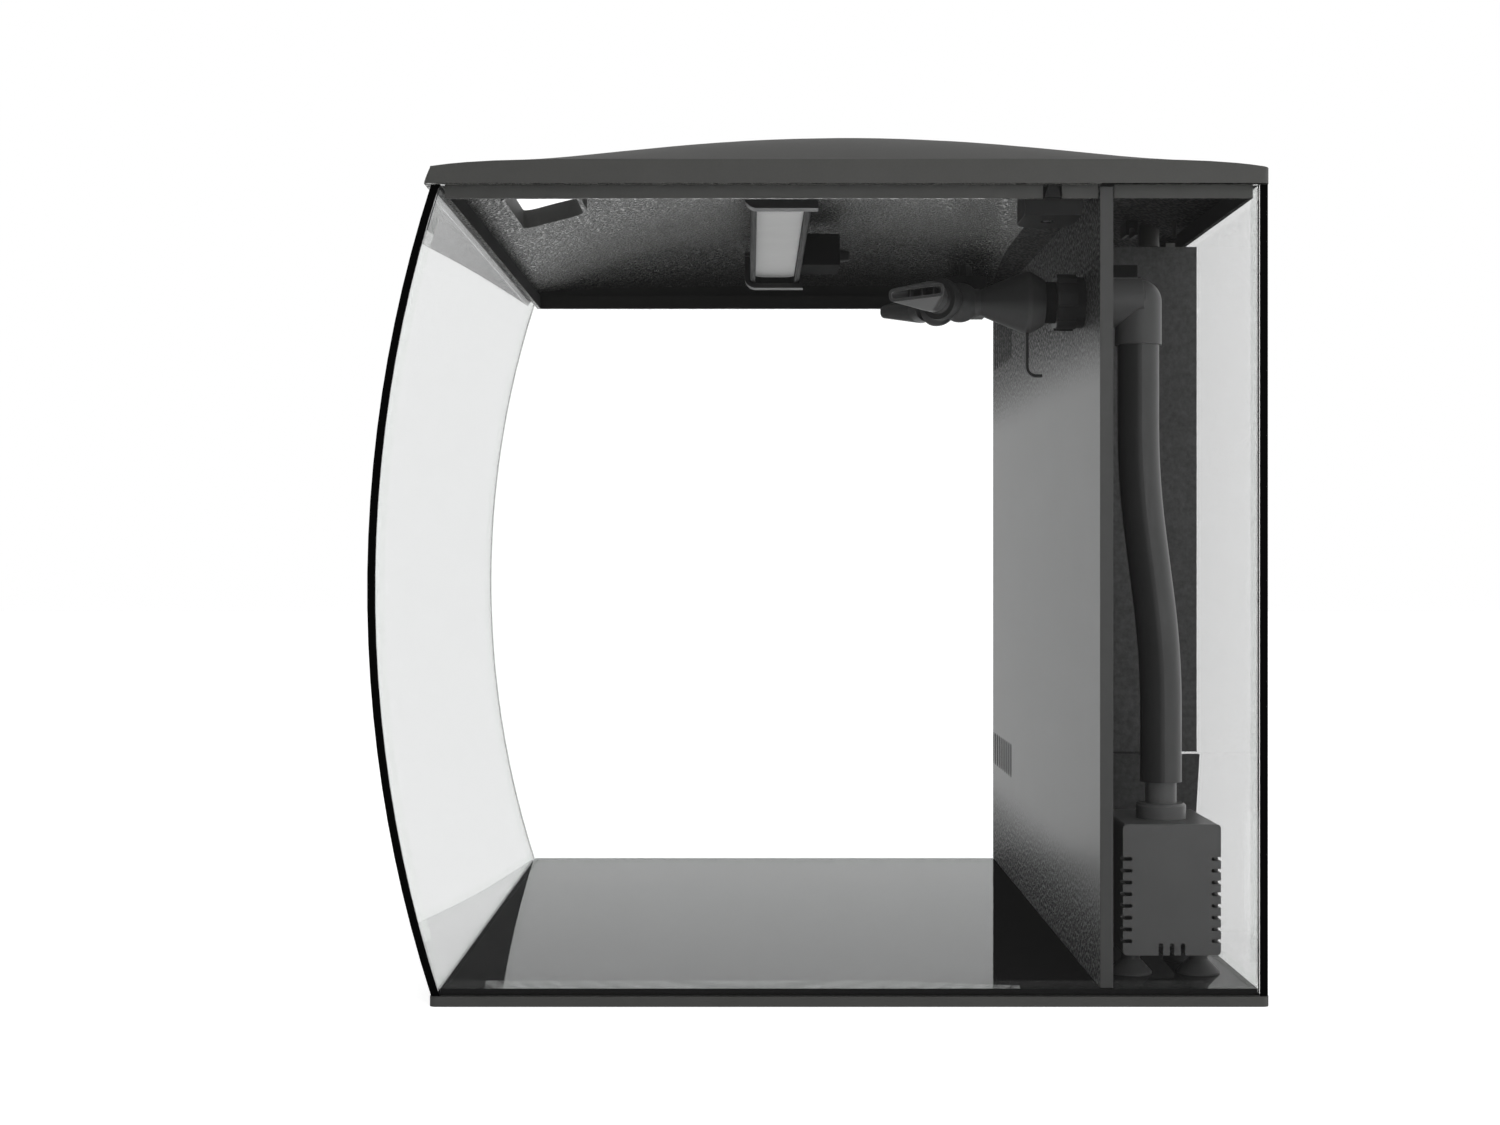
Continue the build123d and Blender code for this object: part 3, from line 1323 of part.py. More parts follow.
# Junction box behind the lamp, open at the top, with its cover and a gland for the cable.
box_top = box_bottom + box_height
with BuildPart() as junction_box:
    span_box(box_x, (lamp_rear, box_rear), (box_bottom, box_top))
    fillet(junction_box.edges().filter_by(Axis.Z), radius=box_wall)
    hollow_x = (box_x[0] + box_wall, box_x[1] - box_wall)
    hollow_y = (lamp_rear + box_wall, box_rear - box_wall)
    span_box(hollow_x, hollow_y, (box_bottom + box_wall, box_top), Mode.SUBTRACT)
save(junction_box, "junction_box")

with BuildPart() as junction_cover:
    span_box(box_x, (lamp_rear, box_rear), (box_top, box_top + box_wall))
    fillet(junction_cover.edges().filter_by(Axis.Z), radius=box_wall)
save(junction_cover, "junction_cover")

with BuildPart() as lamp_gland:
    lamp_gland_x = (box_x[0] + box_x[1]) / 2
    lamp_gland_z = (box_bottom + box_top) / 2
    lamp_gland_plane = Plane(origin=(lamp_gland_x, 0, lamp_gland_z), x_dir=(0, 1, 0), z_dir=(1, 0, 0))
    gland_outline = (
        (box_rear, 0),
        (box_rear, gland_radius),
        (box_rear + gland_length, gland_end_radius),
        (box_rear + gland_length, gland_bore),
        (box_rear + 1, gland_bore),
        (box_rear + 1, 0),
    )
    add(turned(gland_outline, lamp_gland_plane))
save(lamp_gland, "lamp_gland")
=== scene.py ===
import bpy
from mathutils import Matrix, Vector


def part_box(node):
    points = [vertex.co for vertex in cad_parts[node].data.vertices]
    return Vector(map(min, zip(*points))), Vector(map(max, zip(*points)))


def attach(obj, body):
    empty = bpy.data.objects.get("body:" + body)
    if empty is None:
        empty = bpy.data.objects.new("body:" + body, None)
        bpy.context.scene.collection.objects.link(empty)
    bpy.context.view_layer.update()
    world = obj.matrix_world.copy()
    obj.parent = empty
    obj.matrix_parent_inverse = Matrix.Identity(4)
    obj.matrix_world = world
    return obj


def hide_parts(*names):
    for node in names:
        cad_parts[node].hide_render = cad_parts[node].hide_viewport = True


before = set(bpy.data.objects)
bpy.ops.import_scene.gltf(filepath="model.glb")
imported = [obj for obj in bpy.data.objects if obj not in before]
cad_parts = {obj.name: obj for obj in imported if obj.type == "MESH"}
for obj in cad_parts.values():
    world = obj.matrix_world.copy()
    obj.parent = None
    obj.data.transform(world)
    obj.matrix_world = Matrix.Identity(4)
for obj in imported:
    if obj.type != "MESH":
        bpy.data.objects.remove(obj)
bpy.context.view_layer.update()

import math

import bpy
from mathutils import Vector, noise

# ---------------------------------------------------------------- camera
# Beside the tank, 0.9 m from its right end, level, at mid height, looking along the tank's width.
# The lens is a plain 50 mm one on a full-size frame.
CAMERA_PLACE = (1.104, -0.0294, 0.1918)
bpy.ops.object.select_all(action="DESELECT")
bpy.ops.object.camera_add(location=CAMERA_PLACE, rotation=(math.pi / 2, 0, math.pi / 2))
camera = bpy.context.object
camera.data.lens = 50
camera.data.sensor_width = 36
camera.data.clip_start = 0.01
bpy.context.scene.camera = camera
bpy.context.scene.view_settings.view_transform = "Standard"


# ---------------------------------------------------------------- table and light
# A plain white table in a white room. The main soft box stands behind the camera, to its right.
# Weaker ones hang over the tank and stand in front of it and behind it.
def put(tree, kind, links=None, values=None, **settings):
    """Adds a shader node, with its settings, values and incoming links."""
    node = tree.nodes.new("ShaderNode" + kind)
    for key, value in settings.items():
        setattr(node, key, value)
    for key, value in (values or {}).items():
        node.inputs[key].default_value = value
    for key, socket in (links or {}).items():
        tree.links.new(socket, node.inputs[key])
    return node


def calc(tree, operation, first, second=0.0, clamp=False):
    """Adds a Math node on two sockets or numbers and gives its output."""
    node = tree.nodes.new("ShaderNodeMath")
    node.operation = operation
    node.use_clamp = clamp
    for slot_index, value in enumerate((first, second)):
        if isinstance(value, (int, float)):
            node.inputs[slot_index].default_value = value
        else:
            tree.links.new(value, node.inputs[slot_index])
    return node.outputs[0]


def blank_finish(name):
    """New material with an empty node tree and its output node."""
    finish = bpy.data.materials.new(name)
    finish.use_nodes = True
    finish.node_tree.nodes.clear()
    return finish, finish.node_tree, finish.node_tree.nodes.new("ShaderNodeOutputMaterial")


def ray_kinds(tree):
    """The scene's light paths: mirrored, scattered and passed through glass, each 0 or 1."""
    ray = put(tree, "LightPath")
    depths = ("Glossy Depth", "Diffuse Depth", "Transmission Depth")
    return [calc(tree, "GREATER_THAN", ray.outputs[depth], 0.5) for depth in depths]


ROOM_LIGHT = 0.40         # what matt surfaces get from the room
MIRROR_BACK = 1.0         # what glossy surfaces see behind the tank
MIRROR_FRONT = 0.10       # and on the camera's side
MIRROR_TURN = 0.35        # share of a direction along the width at which the change is complete
GLASS_LIFT = 0.28         # the room is this much brighter behind glass, so that it stays white there
TABLE_LIFT = 0.72         # glow that brings the lit table up to white
room = bpy.data.worlds.new("white_room")
bpy.context.scene.world = room
room.use_nodes = True
room_tree = room.node_tree
room_tree.nodes.clear()
direction = put(room_tree, "SeparateXYZ", {"Vector": put(room_tree, "TexCoord").outputs["Generated"]})
toward_back = put(room_tree, "MapRange", {"Value": direction.outputs["X"]},
                  {"From Min": MIRROR_TURN, "From Max": -MIRROR_TURN,
                   "To Min": MIRROR_FRONT, "To Max": MIRROR_BACK})
mirrored, scattered, through = ray_kinds(room_tree)
straight = calc(room_tree, "ADD", 1.0, calc(room_tree, "MULTIPLY", through, GLASS_LIFT))
unmirrored = calc(room_tree, "MULTIPLY", straight, calc(room_tree, "SUBTRACT", 1.0, mirrored))
in_mirror = calc(room_tree, "MULTIPLY", mirrored, toward_back.outputs["Result"])
seen = calc(room_tree, "ADD", unmirrored, in_mirror)
unscattered = calc(room_tree, "MULTIPLY", seen, calc(room_tree, "SUBTRACT", 1.0, scattered))
strength = calc(room_tree, "ADD", unscattered, calc(room_tree, "MULTIPLY", scattered, ROOM_LIGHT))
room_light = put(room_tree, "Background", {"Strength": strength}, {"Color": (1, 1, 1, 1)})
put(room_tree, "OutputWorld", {"Surface": room_light.outputs[0]})

SOFT_BOXES = (
    # place, point it looks at, size, power
    ((2.4, 1.0, 0.45), (0, 0, 0.2), 1.2, 32.0),
    ((0.1, -0.2, 1.9), (0, 0, 0.3), 2.2, 2.5),
    ((-0.5, -2.2, 0.6), (0, 0, 0.2), 1.5, 6.0),
    ((0.7, 2.0, 0.6), (0.15, 0.1, 0.2), 1.2, 12.0),
)
for place, target, size, power in SOFT_BOXES:
    turn = (Vector(target) - Vector(place)).to_track_quat("-Z", "Y").to_euler()
    bpy.ops.object.light_add(type="AREA", location=place, rotation=turn)
    soft_box = bpy.context.object
    soft_box.data.size = size
    soft_box.data.energy = power
    soft_box.visible_camera = False
    soft_box.visible_glossy = False
    soft_box.visible_transmission = False

bpy.ops.object.select_all(action="DESELECT")
bpy.ops.mesh.primitive_plane_add(size=14)
table = bpy.context.object
table.name = "table"
white, tree, out = blank_finish("white_table")
paint = put(tree, "BsdfPrincipled", values={"Base Color": (0.86, 0.86, 0.86, 1), "Roughness": 0.75})
bearing = put(tree, "VectorMath", operation="NORMALIZE")
tree.links.new(put(tree, "TexCoord").outputs["Object"], bearing.inputs[0])
across = put(tree, "SeparateXYZ", {"Vector": bearing.outputs["Vector"]})
toward_back = put(tree, "MapRange", {"Value": across.outputs["X"]},
                  {"From Min": MIRROR_TURN, "From Max": -MIRROR_TURN,
                   "To Min": MIRROR_FRONT, "To Max": MIRROR_BACK})
mirrored, scattered, through = ray_kinds(tree)
glow = put(tree, "Emission", {"Strength": toward_back.outputs["Result"]}, {"Color": (1, 1, 1, 1)})
behind_glass = put(tree, "Emission", values={"Color": (1, 1, 1, 1), "Strength": 1 + GLASS_LIFT})
bright = put(tree, "Emission", values={"Color": (1, 1, 1, 1), "Strength": TABLE_LIFT})
paint_and_glow = put(tree, "AddShader")
tree.links.new(paint.outputs[0], paint_and_glow.inputs[0])
tree.links.new(bright.outputs[0], paint_and_glow.inputs[1])


def mixed(tree, share, first, second):
    """Shader between two others."""
    mix = put(tree, "MixShader", {"Fac": share})
    tree.links.new(first.outputs[0], mix.inputs[1])
    tree.links.new(second.outputs[0], mix.inputs[2])
    return mix


seen = mixed(tree, mirrored, mixed(tree, through, paint_and_glow, behind_glass), glow)
tree.links.new(mixed(tree, scattered, seen, paint).outputs[0], out.inputs["Surface"])
table.data.materials.append(white)


# ---------------------------------------------------------------- base tray
# Flat moulding in dark grey plastic that the glass stands on. Its surface has a fine even grain
# from the mould, and its edges are slightly rounded and rubbed.
COARSE_SIZE = 0.0018      # spark-eroded grain: size of its pits
COARSE_DEPTH = 0.0003
COARSE_TONE = 0.45        # how much darker a pit is than the face between pits
COARSE_DULLING = 0.3      # and how much rougher
NOISE_SWING = 2.0         # brings noise, which strays 0.5 from its middle, to a swing of 1
EDGE_STARTS = 0.998       # cosine between flat and softened face where an edge begins
EDGE_FULL = 0.86          # and where it is rubbed most
RUB_POLISH = 0.12         # a rubbed edge is this much glossier


def moulded_grain():
    """Node group: grain, cloudy tone, and softened edges of a moulded piece, rubbed paler; a strong rub is a
    painted highlight.
    """
    group = bpy.data.node_groups.new("moulded_grain", "ShaderNodeTree")
    sockets = (
        ("Colour", "NodeSocketColor", (0.05, 0.05, 0.05, 1)),
        ("Roughness", "NodeSocketFloat", 0.5),
        ("Grain size", "NodeSocketFloat", 0.0004),
        ("Grain depth", "NodeSocketFloat", 0.00003),
        ("Grain tone", "NodeSocketFloat", 0.1),
        ("Cloud", "NodeSocketFloat", 0.1),
        ("Edge radius", "NodeSocketFloat", 0.0004),
        ("Edge wear and highlight", "NodeSocketFloat", 0.3),
        ("Coarse", "NodeSocketFloat", 0.0),
    )
    for name, kind, value in sockets:
        group.interface.new_socket(name, in_out="INPUT", socket_type=kind).default_value = value
    results = (("Colour", "NodeSocketColor"), ("Roughness", "NodeSocketFloat"),
               ("Normal", "NodeSocketVector"))
    for name, kind in results:
        group.interface.new_socket(name, in_out="OUTPUT", socket_type=kind)
    given = group.nodes.new("NodeGroupInput").outputs
    result = group.nodes.new("NodeGroupOutput").inputs
    place = put(group, "TexCoord").outputs["Object"]
    scale = calc(group, "DIVIDE", 1.0, given["Grain size"])
    grain = put(group, "TexNoise", {"Vector": place, "Scale": scale}, {"Detail": 2.5, "Roughness": 0.62})
    cloud = put(group, "TexNoise", {"Vector": place}, {"Scale": 34.0, "Detail": 4.0, "Roughness": 0.6})
    pits = put(group, "TexNoise", {"Vector": place},
               {"Scale": 1 / COARSE_SIZE, "Detail": 1.0, "Roughness": 0.5})
    pit_level = put(group, "MapRange", {"Value": pits.outputs["Fac"]},
                    {"From Min": 0.4, "From Max": 0.6, "To Min": -0.5, "To Max": 0.5})
    coarse = calc(group, "MULTIPLY", pit_level.outputs["Result"], given["Coarse"])
    soft = put(group, "Bevel", {"Radius": given["Edge radius"]}, samples=4)
    flat = put(group, "NewGeometry").outputs["Normal"]
    turned = put(group, "VectorMath", operation="DOT_PRODUCT")
    group.links.new(soft.outputs["Normal"], turned.inputs[0])
    group.links.new(flat, turned.inputs[1])
    edge = put(group, "MapRange", {"Value": turned.outputs["Value"]},
               {"From Min": EDGE_STARTS, "From Max": EDGE_FULL, "To Min": 0.0, "To Max": 1.0})
    wear_and_highlight = calc(group, "MULTIPLY", edge.outputs["Result"], given["Edge wear and highlight"])
    grain_level = calc(group, "SUBTRACT", grain.outputs["Fac"], 0.5)
    cloud_level = calc(group, "SUBTRACT", cloud.outputs["Fac"], 0.5)
    tone = calc(group, "ADD", calc(group, "MULTIPLY", grain_level, given["Grain tone"]),
                  calc(group, "MULTIPLY", cloud_level, given["Cloud"]))
    tone = calc(group, "ADD", tone, calc(group, "MULTIPLY", coarse, COARSE_TONE))
    level = calc(group, "ADD", calc(group, "MULTIPLY", tone, NOISE_SWING), calc(group, "ADD", 1.0, wear_and_highlight))
    colour = put(group, "VectorMath", {"Scale": level}, operation="SCALE")
    group.links.new(given["Colour"], colour.inputs[0])
    group.links.new(colour.outputs["Vector"], result["Colour"])
    unevenness = calc(group, "MULTIPLY", cloud_level, given["Cloud"])
    rough = calc(group, "ADD", given["Roughness"], unevenness)
    rough = calc(group, "SUBTRACT", rough, calc(group, "MULTIPLY", wear_and_highlight, RUB_POLISH))
    rough = calc(group, "SUBTRACT", rough, calc(group, "MULTIPLY", coarse, COARSE_DULLING), clamp=True)
    group.links.new(rough, result["Roughness"])
    fine_bump = put(group, "Bump", {"Distance": given["Grain depth"], "Height": grain.outputs["Fac"],
                                    "Normal": soft.outputs["Normal"]}, {"Strength": 1.0})
    coarse_bump = put(group, "Bump", {"Height": coarse, "Normal": fine_bump.outputs["Normal"]},
                      {"Strength": 1.0, "Distance": COARSE_DEPTH})
    group.links.new(coarse_bump.outputs["Normal"], result["Normal"])
    return group


GRAIN = moulded_grain()


def moulded(name, colour, roughness, grain_size, grain_depth, grain_tone=0.1, cloud=0.12,
            edge_radius=0.0004, edge_wear_and_highlight=0.3, **shader):
    """Moulded finish: the grain group in front of a shader. Sizes and depths are in metres."""
    finish, tree, out = blank_finish(name)
    grain = tree.nodes.new("ShaderNodeGroup")
    grain.name = "grain"
    grain.node_tree = GRAIN
    values = (("Colour", (*colour, 1)), ("Roughness", roughness), ("Grain size", grain_size),
              ("Grain depth", grain_depth), ("Grain tone", grain_tone), ("Cloud", cloud),
              ("Edge radius", edge_radius), ("Edge wear and highlight", edge_wear_and_highlight))
    for key, value in values:
        grain.inputs[key].default_value = value
    links = {"Base Color": grain.outputs["Colour"], "Roughness": grain.outputs["Roughness"],
             "Normal": grain.outputs["Normal"]}
    values = {key.replace("_", " "): value for key, value in shader.items()}
    surface = put(tree, "BsdfPrincipled", links, values)
    surface.name = "surface"
    tree.links.new(surface.outputs[0], out.inputs["Surface"])
    return finish


def give(finish, *names):
    """Puts a finish on CAD nodes."""
    for name in names:
        for material_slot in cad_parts[name].material_slots:
            material_slot.material = finish


TRIM_GREY = (0.063, 0.063, 0.060)
give(moulded("tray_grey", TRIM_GREY, 0.52, 0.0005, 0.00002), "base_tray")

# ---------------------------------------------------------------- bottom pane
# Float glass, black right through and polished on top. It lies on the tray, and the upright panes
# are glued to it. A trace of dust dulls it unevenly.
finish, tree, out = blank_finish("black_glass")
place = put(tree, "TexCoord").outputs["Object"]
dust = put(tree, "TexNoise", {"Vector": place}, {"Scale": 60.0, "Detail": 6.0, "Roughness": 0.7})
dulled = put(tree, "MapRange", {"Value": dust.outputs["Fac"]},
             {"From Min": 0.45, "From Max": 0.75, "To Min": 0.012, "To Max": 0.05})
surface = put(tree, "BsdfPrincipled", {"Roughness": dulled.outputs["Result"]},
              {"Base Color": (0.008, 0.008, 0.008, 1), "IOR": 1.23})
tree.links.new(surface.outputs[0], out.inputs["Surface"])
give(finish, "bottom_glass")


# ---------------------------------------------------------------- upright panes
# Clear float glass, 3.5 mm. The bowed front pane and the rear pane run past the side panes, and
# their cut ends are black. The side panes stand between them, with clear polished edges.
END_FACE = 0.9            # a face is a cut end from this much of its normal along the width


def clear_pane(name, tint, black_ends, dark_in_mirror):
    """Clear glass. Its cut ends can be black, and its outside can be dark in mirrors, a painted reflection.
    """
    finish, tree, out = blank_finish(name)
    glass = put(tree, "BsdfPrincipled", values={
        "Base Color": (*tint, 1), "Roughness": 0.0, "IOR": 1.46, "Transmission Weight": 1.0})
    ray = put(tree, "LightPath")
    unlit = calc(tree, "MAXIMUM", ray.outputs["Is Shadow Ray"], ray.outputs["Is Diffuse Ray"])
    through = put(tree, "BsdfTransparent", values={"Color": (0.94, 0.94, 0.94, 1)})
    pane = mixed(tree, unlit, glass, through)
    black = put(tree, "BsdfPrincipled", values={
        "Base Color": (0.002, 0.002, 0.002, 1), "Roughness": 0.6, "Specular IOR Level": 0.05})
    mask = None
    if black_ends:
        sideways = put(tree, "SeparateXYZ", {"Vector": put(tree, "TexCoord").outputs["Normal"]})
        mask = calc(tree, "GREATER_THAN", calc(tree, "ABSOLUTE", sideways.outputs["X"]), END_FACE)
    # Painted reflection: seen in a mirror, the outside of the pane turns black.
    if dark_in_mirror:
        outside = calc(tree, "SUBTRACT", 1.0, put(tree, "NewGeometry").outputs["Backfacing"])
        shade = calc(tree, "MULTIPLY", ray.outputs["Is Reflection Ray"], outside)
        mask = shade if mask is None else calc(tree, "MAXIMUM", mask, shade)
    if mask is not None:
        pane = mixed(tree, mask, pane, black)
    tree.links.new(pane.outputs[0], out.inputs["Surface"])
    return finish


give(clear_pane("front_pane", (0.72, 0.722, 0.722), True, True), "front_glass")
give(clear_pane("rear_pane", (1.0, 1.0, 1.0), True, False), "rear_glass")
give(clear_pane("side_pane", (0.99, 0.995, 0.995), False, False), "left_glass", "right_glass")

# ---------------------------------------------------------------- sealing beads
# Clear silicone in the corners between the panes, tooled to a narrow three-sided fillet. It holds
# the panes together and to the bottom, and is faintly milky in places.
finish, tree, out = blank_finish("clear_silicone")
place = put(tree, "TexCoord").outputs["Object"]
ripple = put(tree, "TexNoise", {"Vector": place}, {"Scale": 90.0, "Detail": 2.0})
bump = put(tree, "Bump", {"Height": ripple.outputs["Fac"]}, {"Distance": 0.0002, "Strength": 0.5})
milky = put(tree, "BsdfPrincipled", {"Normal": bump.outputs["Normal"]},
            {"Base Color": (0.7, 0.72, 0.71, 1), "Roughness": 0.35})
clear = put(tree, "BsdfTransparent", values={"Color": (0.985, 0.99, 0.985, 1)})
cloudy = put(tree, "MapRange", {"Value": ripple.outputs["Fac"]}, {"To Max": 0.012})
tree.links.new(mixed(tree, cloudy.outputs["Result"], clear, milky).outputs[0], out.inputs["Surface"])
give(finish, "corner_beads", "floor_beads")

# ---------------------------------------------------------------- compartment wall
# Sheet of dark grey plastic, glued between the panes, with two groups of sawn slots. A coarse
# spark-eroded grain covers it above and below; the broad band between is smooth.
WALL_GREY = (0.036, 0.036, 0.0355)
WALL_SHEEN = 0.34         # roughness of the smooth band
GRAINED_SHEEN = 0.72      # and where the grain is fully open
BAND_MIDDLE = 0.165       # height of the band's middle
BAND_EDGE = 0.1           # from there to where the grain begins
GRAIN_FULL = 0.165        # and to where it is fully open
OPEN_GRAIN = 1.6
SAWN_TONE = 1.6           # sawn ends against the moulded faces
BROAD_SIDE = 0.7          # a face looks along an axis from this much of its normal
sheet_grey = moulded("wall_grey", WALL_GREY, WALL_SHEEN, 0.004, 0.000004, grain_tone=0.04, cloud=0.03,
                     edge_wear_and_highlight=0.15, Specular_IOR_Level=0.5)
tree = sheet_grey.node_tree
out = tree.nodes["Material Output"]
place = put(tree, "TexCoord")
facing = put(tree, "SeparateXYZ", {"Vector": place.outputs["Normal"]})
height = put(tree, "SeparateXYZ", {"Vector": place.outputs["Object"]}).outputs["Z"]
broad = calc(tree, "GREATER_THAN", calc(tree, "ABSOLUTE", facing.outputs["Y"]), BROAD_SIDE)
from_middle = calc(tree, "ABSOLUTE", calc(tree, "SUBTRACT", height, BAND_MIDDLE))
open_grain = put(tree, "MapRange", {"Value": from_middle},
                 {"From Min": BAND_EDGE, "From Max": GRAIN_FULL, "To Max": OPEN_GRAIN},
                 interpolation_type="SMOOTHSTEP")
grained = calc(tree, "MULTIPLY", broad, open_grain.outputs["Result"])
tree.links.new(grained, tree.nodes["grain"].inputs["Coarse"])
dull = put(tree, "MapRange", {"Value": grained},
           {"From Max": OPEN_GRAIN, "To Min": WALL_SHEEN, "To Max": GRAINED_SHEEN})
tree.links.new(dull.outputs["Result"], tree.nodes["grain"].inputs["Roughness"])
sawn = put(tree, "MapRange", {"Value": broad}, {"To Min": SAWN_TONE, "To Max": 1.0})
colour = put(tree, "VectorMath", {"Scale": sawn.outputs["Result"]}, operation="SCALE")
colour.inputs[0].default_value = WALL_GREY
tree.links.new(colour.outputs["Vector"], tree.nodes["grain"].inputs["Colour"])
# Painted reflection: seen in a mirror, such as the black floor, the wall turns to an unlit near black.
unlit = put(tree, "BsdfPrincipled", values={
    "Base Color": (0.008, 0.008, 0.008, 1), "Roughness": 0.8, "Specular IOR Level": 0.0})
in_mirror = put(tree, "LightPath").outputs["Is Reflection Ray"]
tree.links.new(mixed(tree, in_mirror, tree.nodes["surface"], unlit).outputs[0], out.inputs["Surface"])
give(sheet_grey, "compartment_wall")

# ---------------------------------------------------------------- baffles
# Sheets of the same plastic, glued to the wall and the rear pane, which lead the water through
# the foam and the media. The two by the pump are grey, the two by the foam black.
baffle_grey = moulded("baffle_grey", (0.042, 0.042, 0.042), 0.5, 0.0022, 0.00006, grain_tone=0.8)
give(baffle_grey, "mid_baffle", "leaning_baffle")
BLACK = (0.016, 0.016, 0.016)
give(moulded("baffle_black", BLACK, 0.55, 0.0007, 0.00006), "intake_baffle", "media_baffle")

# ---------------------------------------------------------------- pump housing
# Housing, strainer cover, outlet and chamber plate in satin dark grey plastic, clipped together.
# They stand on the floor of the compartment, at the foot of the hose.
PUMP_GREY = (0.082, 0.082, 0.082)
satin = moulded("pump_grey", PUMP_GREY, 0.36, 0.0004, 0.00002, edge_radius=0.0006, edge_wear_and_highlight=0.4)
give(satin, "pump_body", "pump_cover", "pump_outlet", "chamber_plate")


# ---------------------------------------------------------------- hose, elbow and wall connector
# Soft vinyl hose pushed on the pump's neck and into a grey elbow. The connector passes through
# the wall, with a gasket behind it, a nut in front and a lug on top, which is drawn black as painted shade.
def paint_light_by_facing(finish, colour, axis, start, end, tone):
    """Paints light and shade by facing: scales the colour of faces that look along an axis, 1 at the start,
    this tone at the end.
    """
    tree = finish.node_tree
    facing = put(tree, "SeparateXYZ", {"Vector": put(tree, "TexCoord").outputs["Normal"]})
    level = put(tree, "MapRange", {"Value": facing.outputs[axis]},
                {"From Min": start, "From Max": end, "To Min": 1.0, "To Max": tone})
    shade = put(tree, "VectorMath", {"Scale": level.outputs["Result"]}, operation="SCALE")
    shade.inputs[0].default_value = colour
    tree.links.new(shade.outputs["Vector"], tree.nodes["grain"].inputs["Colour"])
    return finish


JOINT_GREY = (0.06, 0.06, 0.06)
JOINT_SHEEN = 0.42
LUG_SHADE_BLACK = (0.004, 0.004, 0.004)
LUG_SHEEN = 0.9
LUG_START = 0.0004        # the lug begins this far above the elbow
joint_grey = moulded("joint_grey", JOINT_GREY, JOINT_SHEEN, 0.0004, 0.00002, edge_radius=0.0006, edge_wear_and_highlight=0.5)
tree = joint_grey.node_tree
height = put(tree, "SeparateXYZ", {"Vector": put(tree, "TexCoord").outputs["Object"]})
# Painted shade: the lug above the elbow is drawn black, and the connector before the wall takes the same
# black.
lug = calc(tree, "GREATER_THAN", height.outputs["Z"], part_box("elbow")[1][2] + LUG_START)
before_wall = calc(tree, "LESS_THAN", height.outputs["Y"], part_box("compartment_wall")[1][1])
lug_and_front = calc(tree, "MAXIMUM", lug, before_wall)
colour = put(tree, "MixRGB", {"Fac": lug_and_front}, {"Color1": (*JOINT_GREY, 1), "Color2": (*LUG_SHADE_BLACK, 1)})
dull = put(tree, "MapRange", {"Value": lug_and_front}, {"To Min": JOINT_SHEEN, "To Max": LUG_SHEEN})
tree.links.new(dull.outputs["Result"], tree.nodes["grain"].inputs["Roughness"])
tree.links.new(colour.outputs["Color"], tree.nodes["grain"].inputs["Colour"])
give(joint_grey, "elbow", "wall_connector")
HOSE_GREY = (0.056, 0.056, 0.056)
hose_vinyl = moulded("hose_vinyl", HOSE_GREY, 0.4, 0.0006, 0.00001, cloud=0.2)
# Painted shade: the hose is darker on its side towards the wall.
give(paint_light_by_facing(hose_vinyl, HOSE_GREY, "Y", start=0.0, end=-0.25, tone=0.35), "hose")

# ---------------------------------------------------------------- rubber parts
# Moulded in black rubber: four cups that hold the pump to the floor, the glands of the two
# cables, the bushes of the shaft, the gasket behind the wall and the ring in the outlet's cone.
rubber = moulded("black_rubber", (0.045, 0.045, 0.045), 0.5, 0.0005, 0.00002, edge_wear_and_highlight=0.5)
give(rubber, "suction_cups", "pump_gland", "gasket", "outlet_ring", "shaft_bushes", "lamp_gland")

# ---------------------------------------------------------------- pump rotor
# A pale plastic impeller on a sintered magnet, which turns on a ground ceramic shaft inside the
# pump. None of it shows from outside.
give(moulded("impeller_grey", (0.55, 0.56, 0.56), 0.3, 0.0004, 0.00001), "impeller")
give(moulded("sintered_magnet", (0.06, 0.06, 0.065), 0.5, 0.0002, 0.00002, Metallic=0.6), "rotor_magnet")
give(moulded("ground_ceramic", (0.9, 0.89, 0.86), 0.22, 0.0003, 0.000003), "impeller_shaft")

# ---------------------------------------------------------------- turning outlet
# Cone, fork, balls and flat nozzles in black plastic with a fine matt grain, snapped into each
# other. Their undersides are drawn paler as painted light from below. A rubber ring seals the cone.
OUTLET_BLACK = (0.018, 0.018, 0.018)
NOZZLE_BLACK = (0.034, 0.034, 0.034)
outlet_black = moulded("outlet_black", OUTLET_BLACK, 0.55, 0.0005, 0.00003, edge_wear_and_highlight=0.3,
                       Specular_IOR_Level=0.25)
# Painted light from below: the undersides are drawn paler.
give(paint_light_by_facing(outlet_black, OUTLET_BLACK, "Z", start=0.0, end=-0.8, tone=5.0),
     "outlet_cone", "fork", "left_nozzle_ball", "right_nozzle_ball")
# The flat nozzles' strong edge rub is a painted highlight on their rims.
nozzle_black = moulded("nozzle_black", NOZZLE_BLACK, 0.36, 0.0005, 0.00002, edge_radius=0.0008, edge_wear_and_highlight=2.2)
give(paint_light_by_facing(nozzle_black, NOZZLE_BLACK, "Z", start=0.0, end=-0.8, tone=3.4),
     "left_flat_nozzle", "right_flat_nozzle")

# ---------------------------------------------------------------- lid
# One moulding in the trim's dark grey: fine grain outside, coarse grain underneath. Underneath it is
# painted paler as painted light, with painted shade towards the left end, on the skirt's inner faces
# and, nearly black, where it covers the compartment. It lies on the panes.
UNDER_TONE = 2.1          # underside against the outside, raised as painted light from below
RIGHT_TONE = 1.65         # share of that where the dome falls to the right end, painted light
LEFT_TONE = 0.22          # and where it falls to the left end, painted shade
DOME_TILT = 0.1           # tilt of the dome at which both are reached
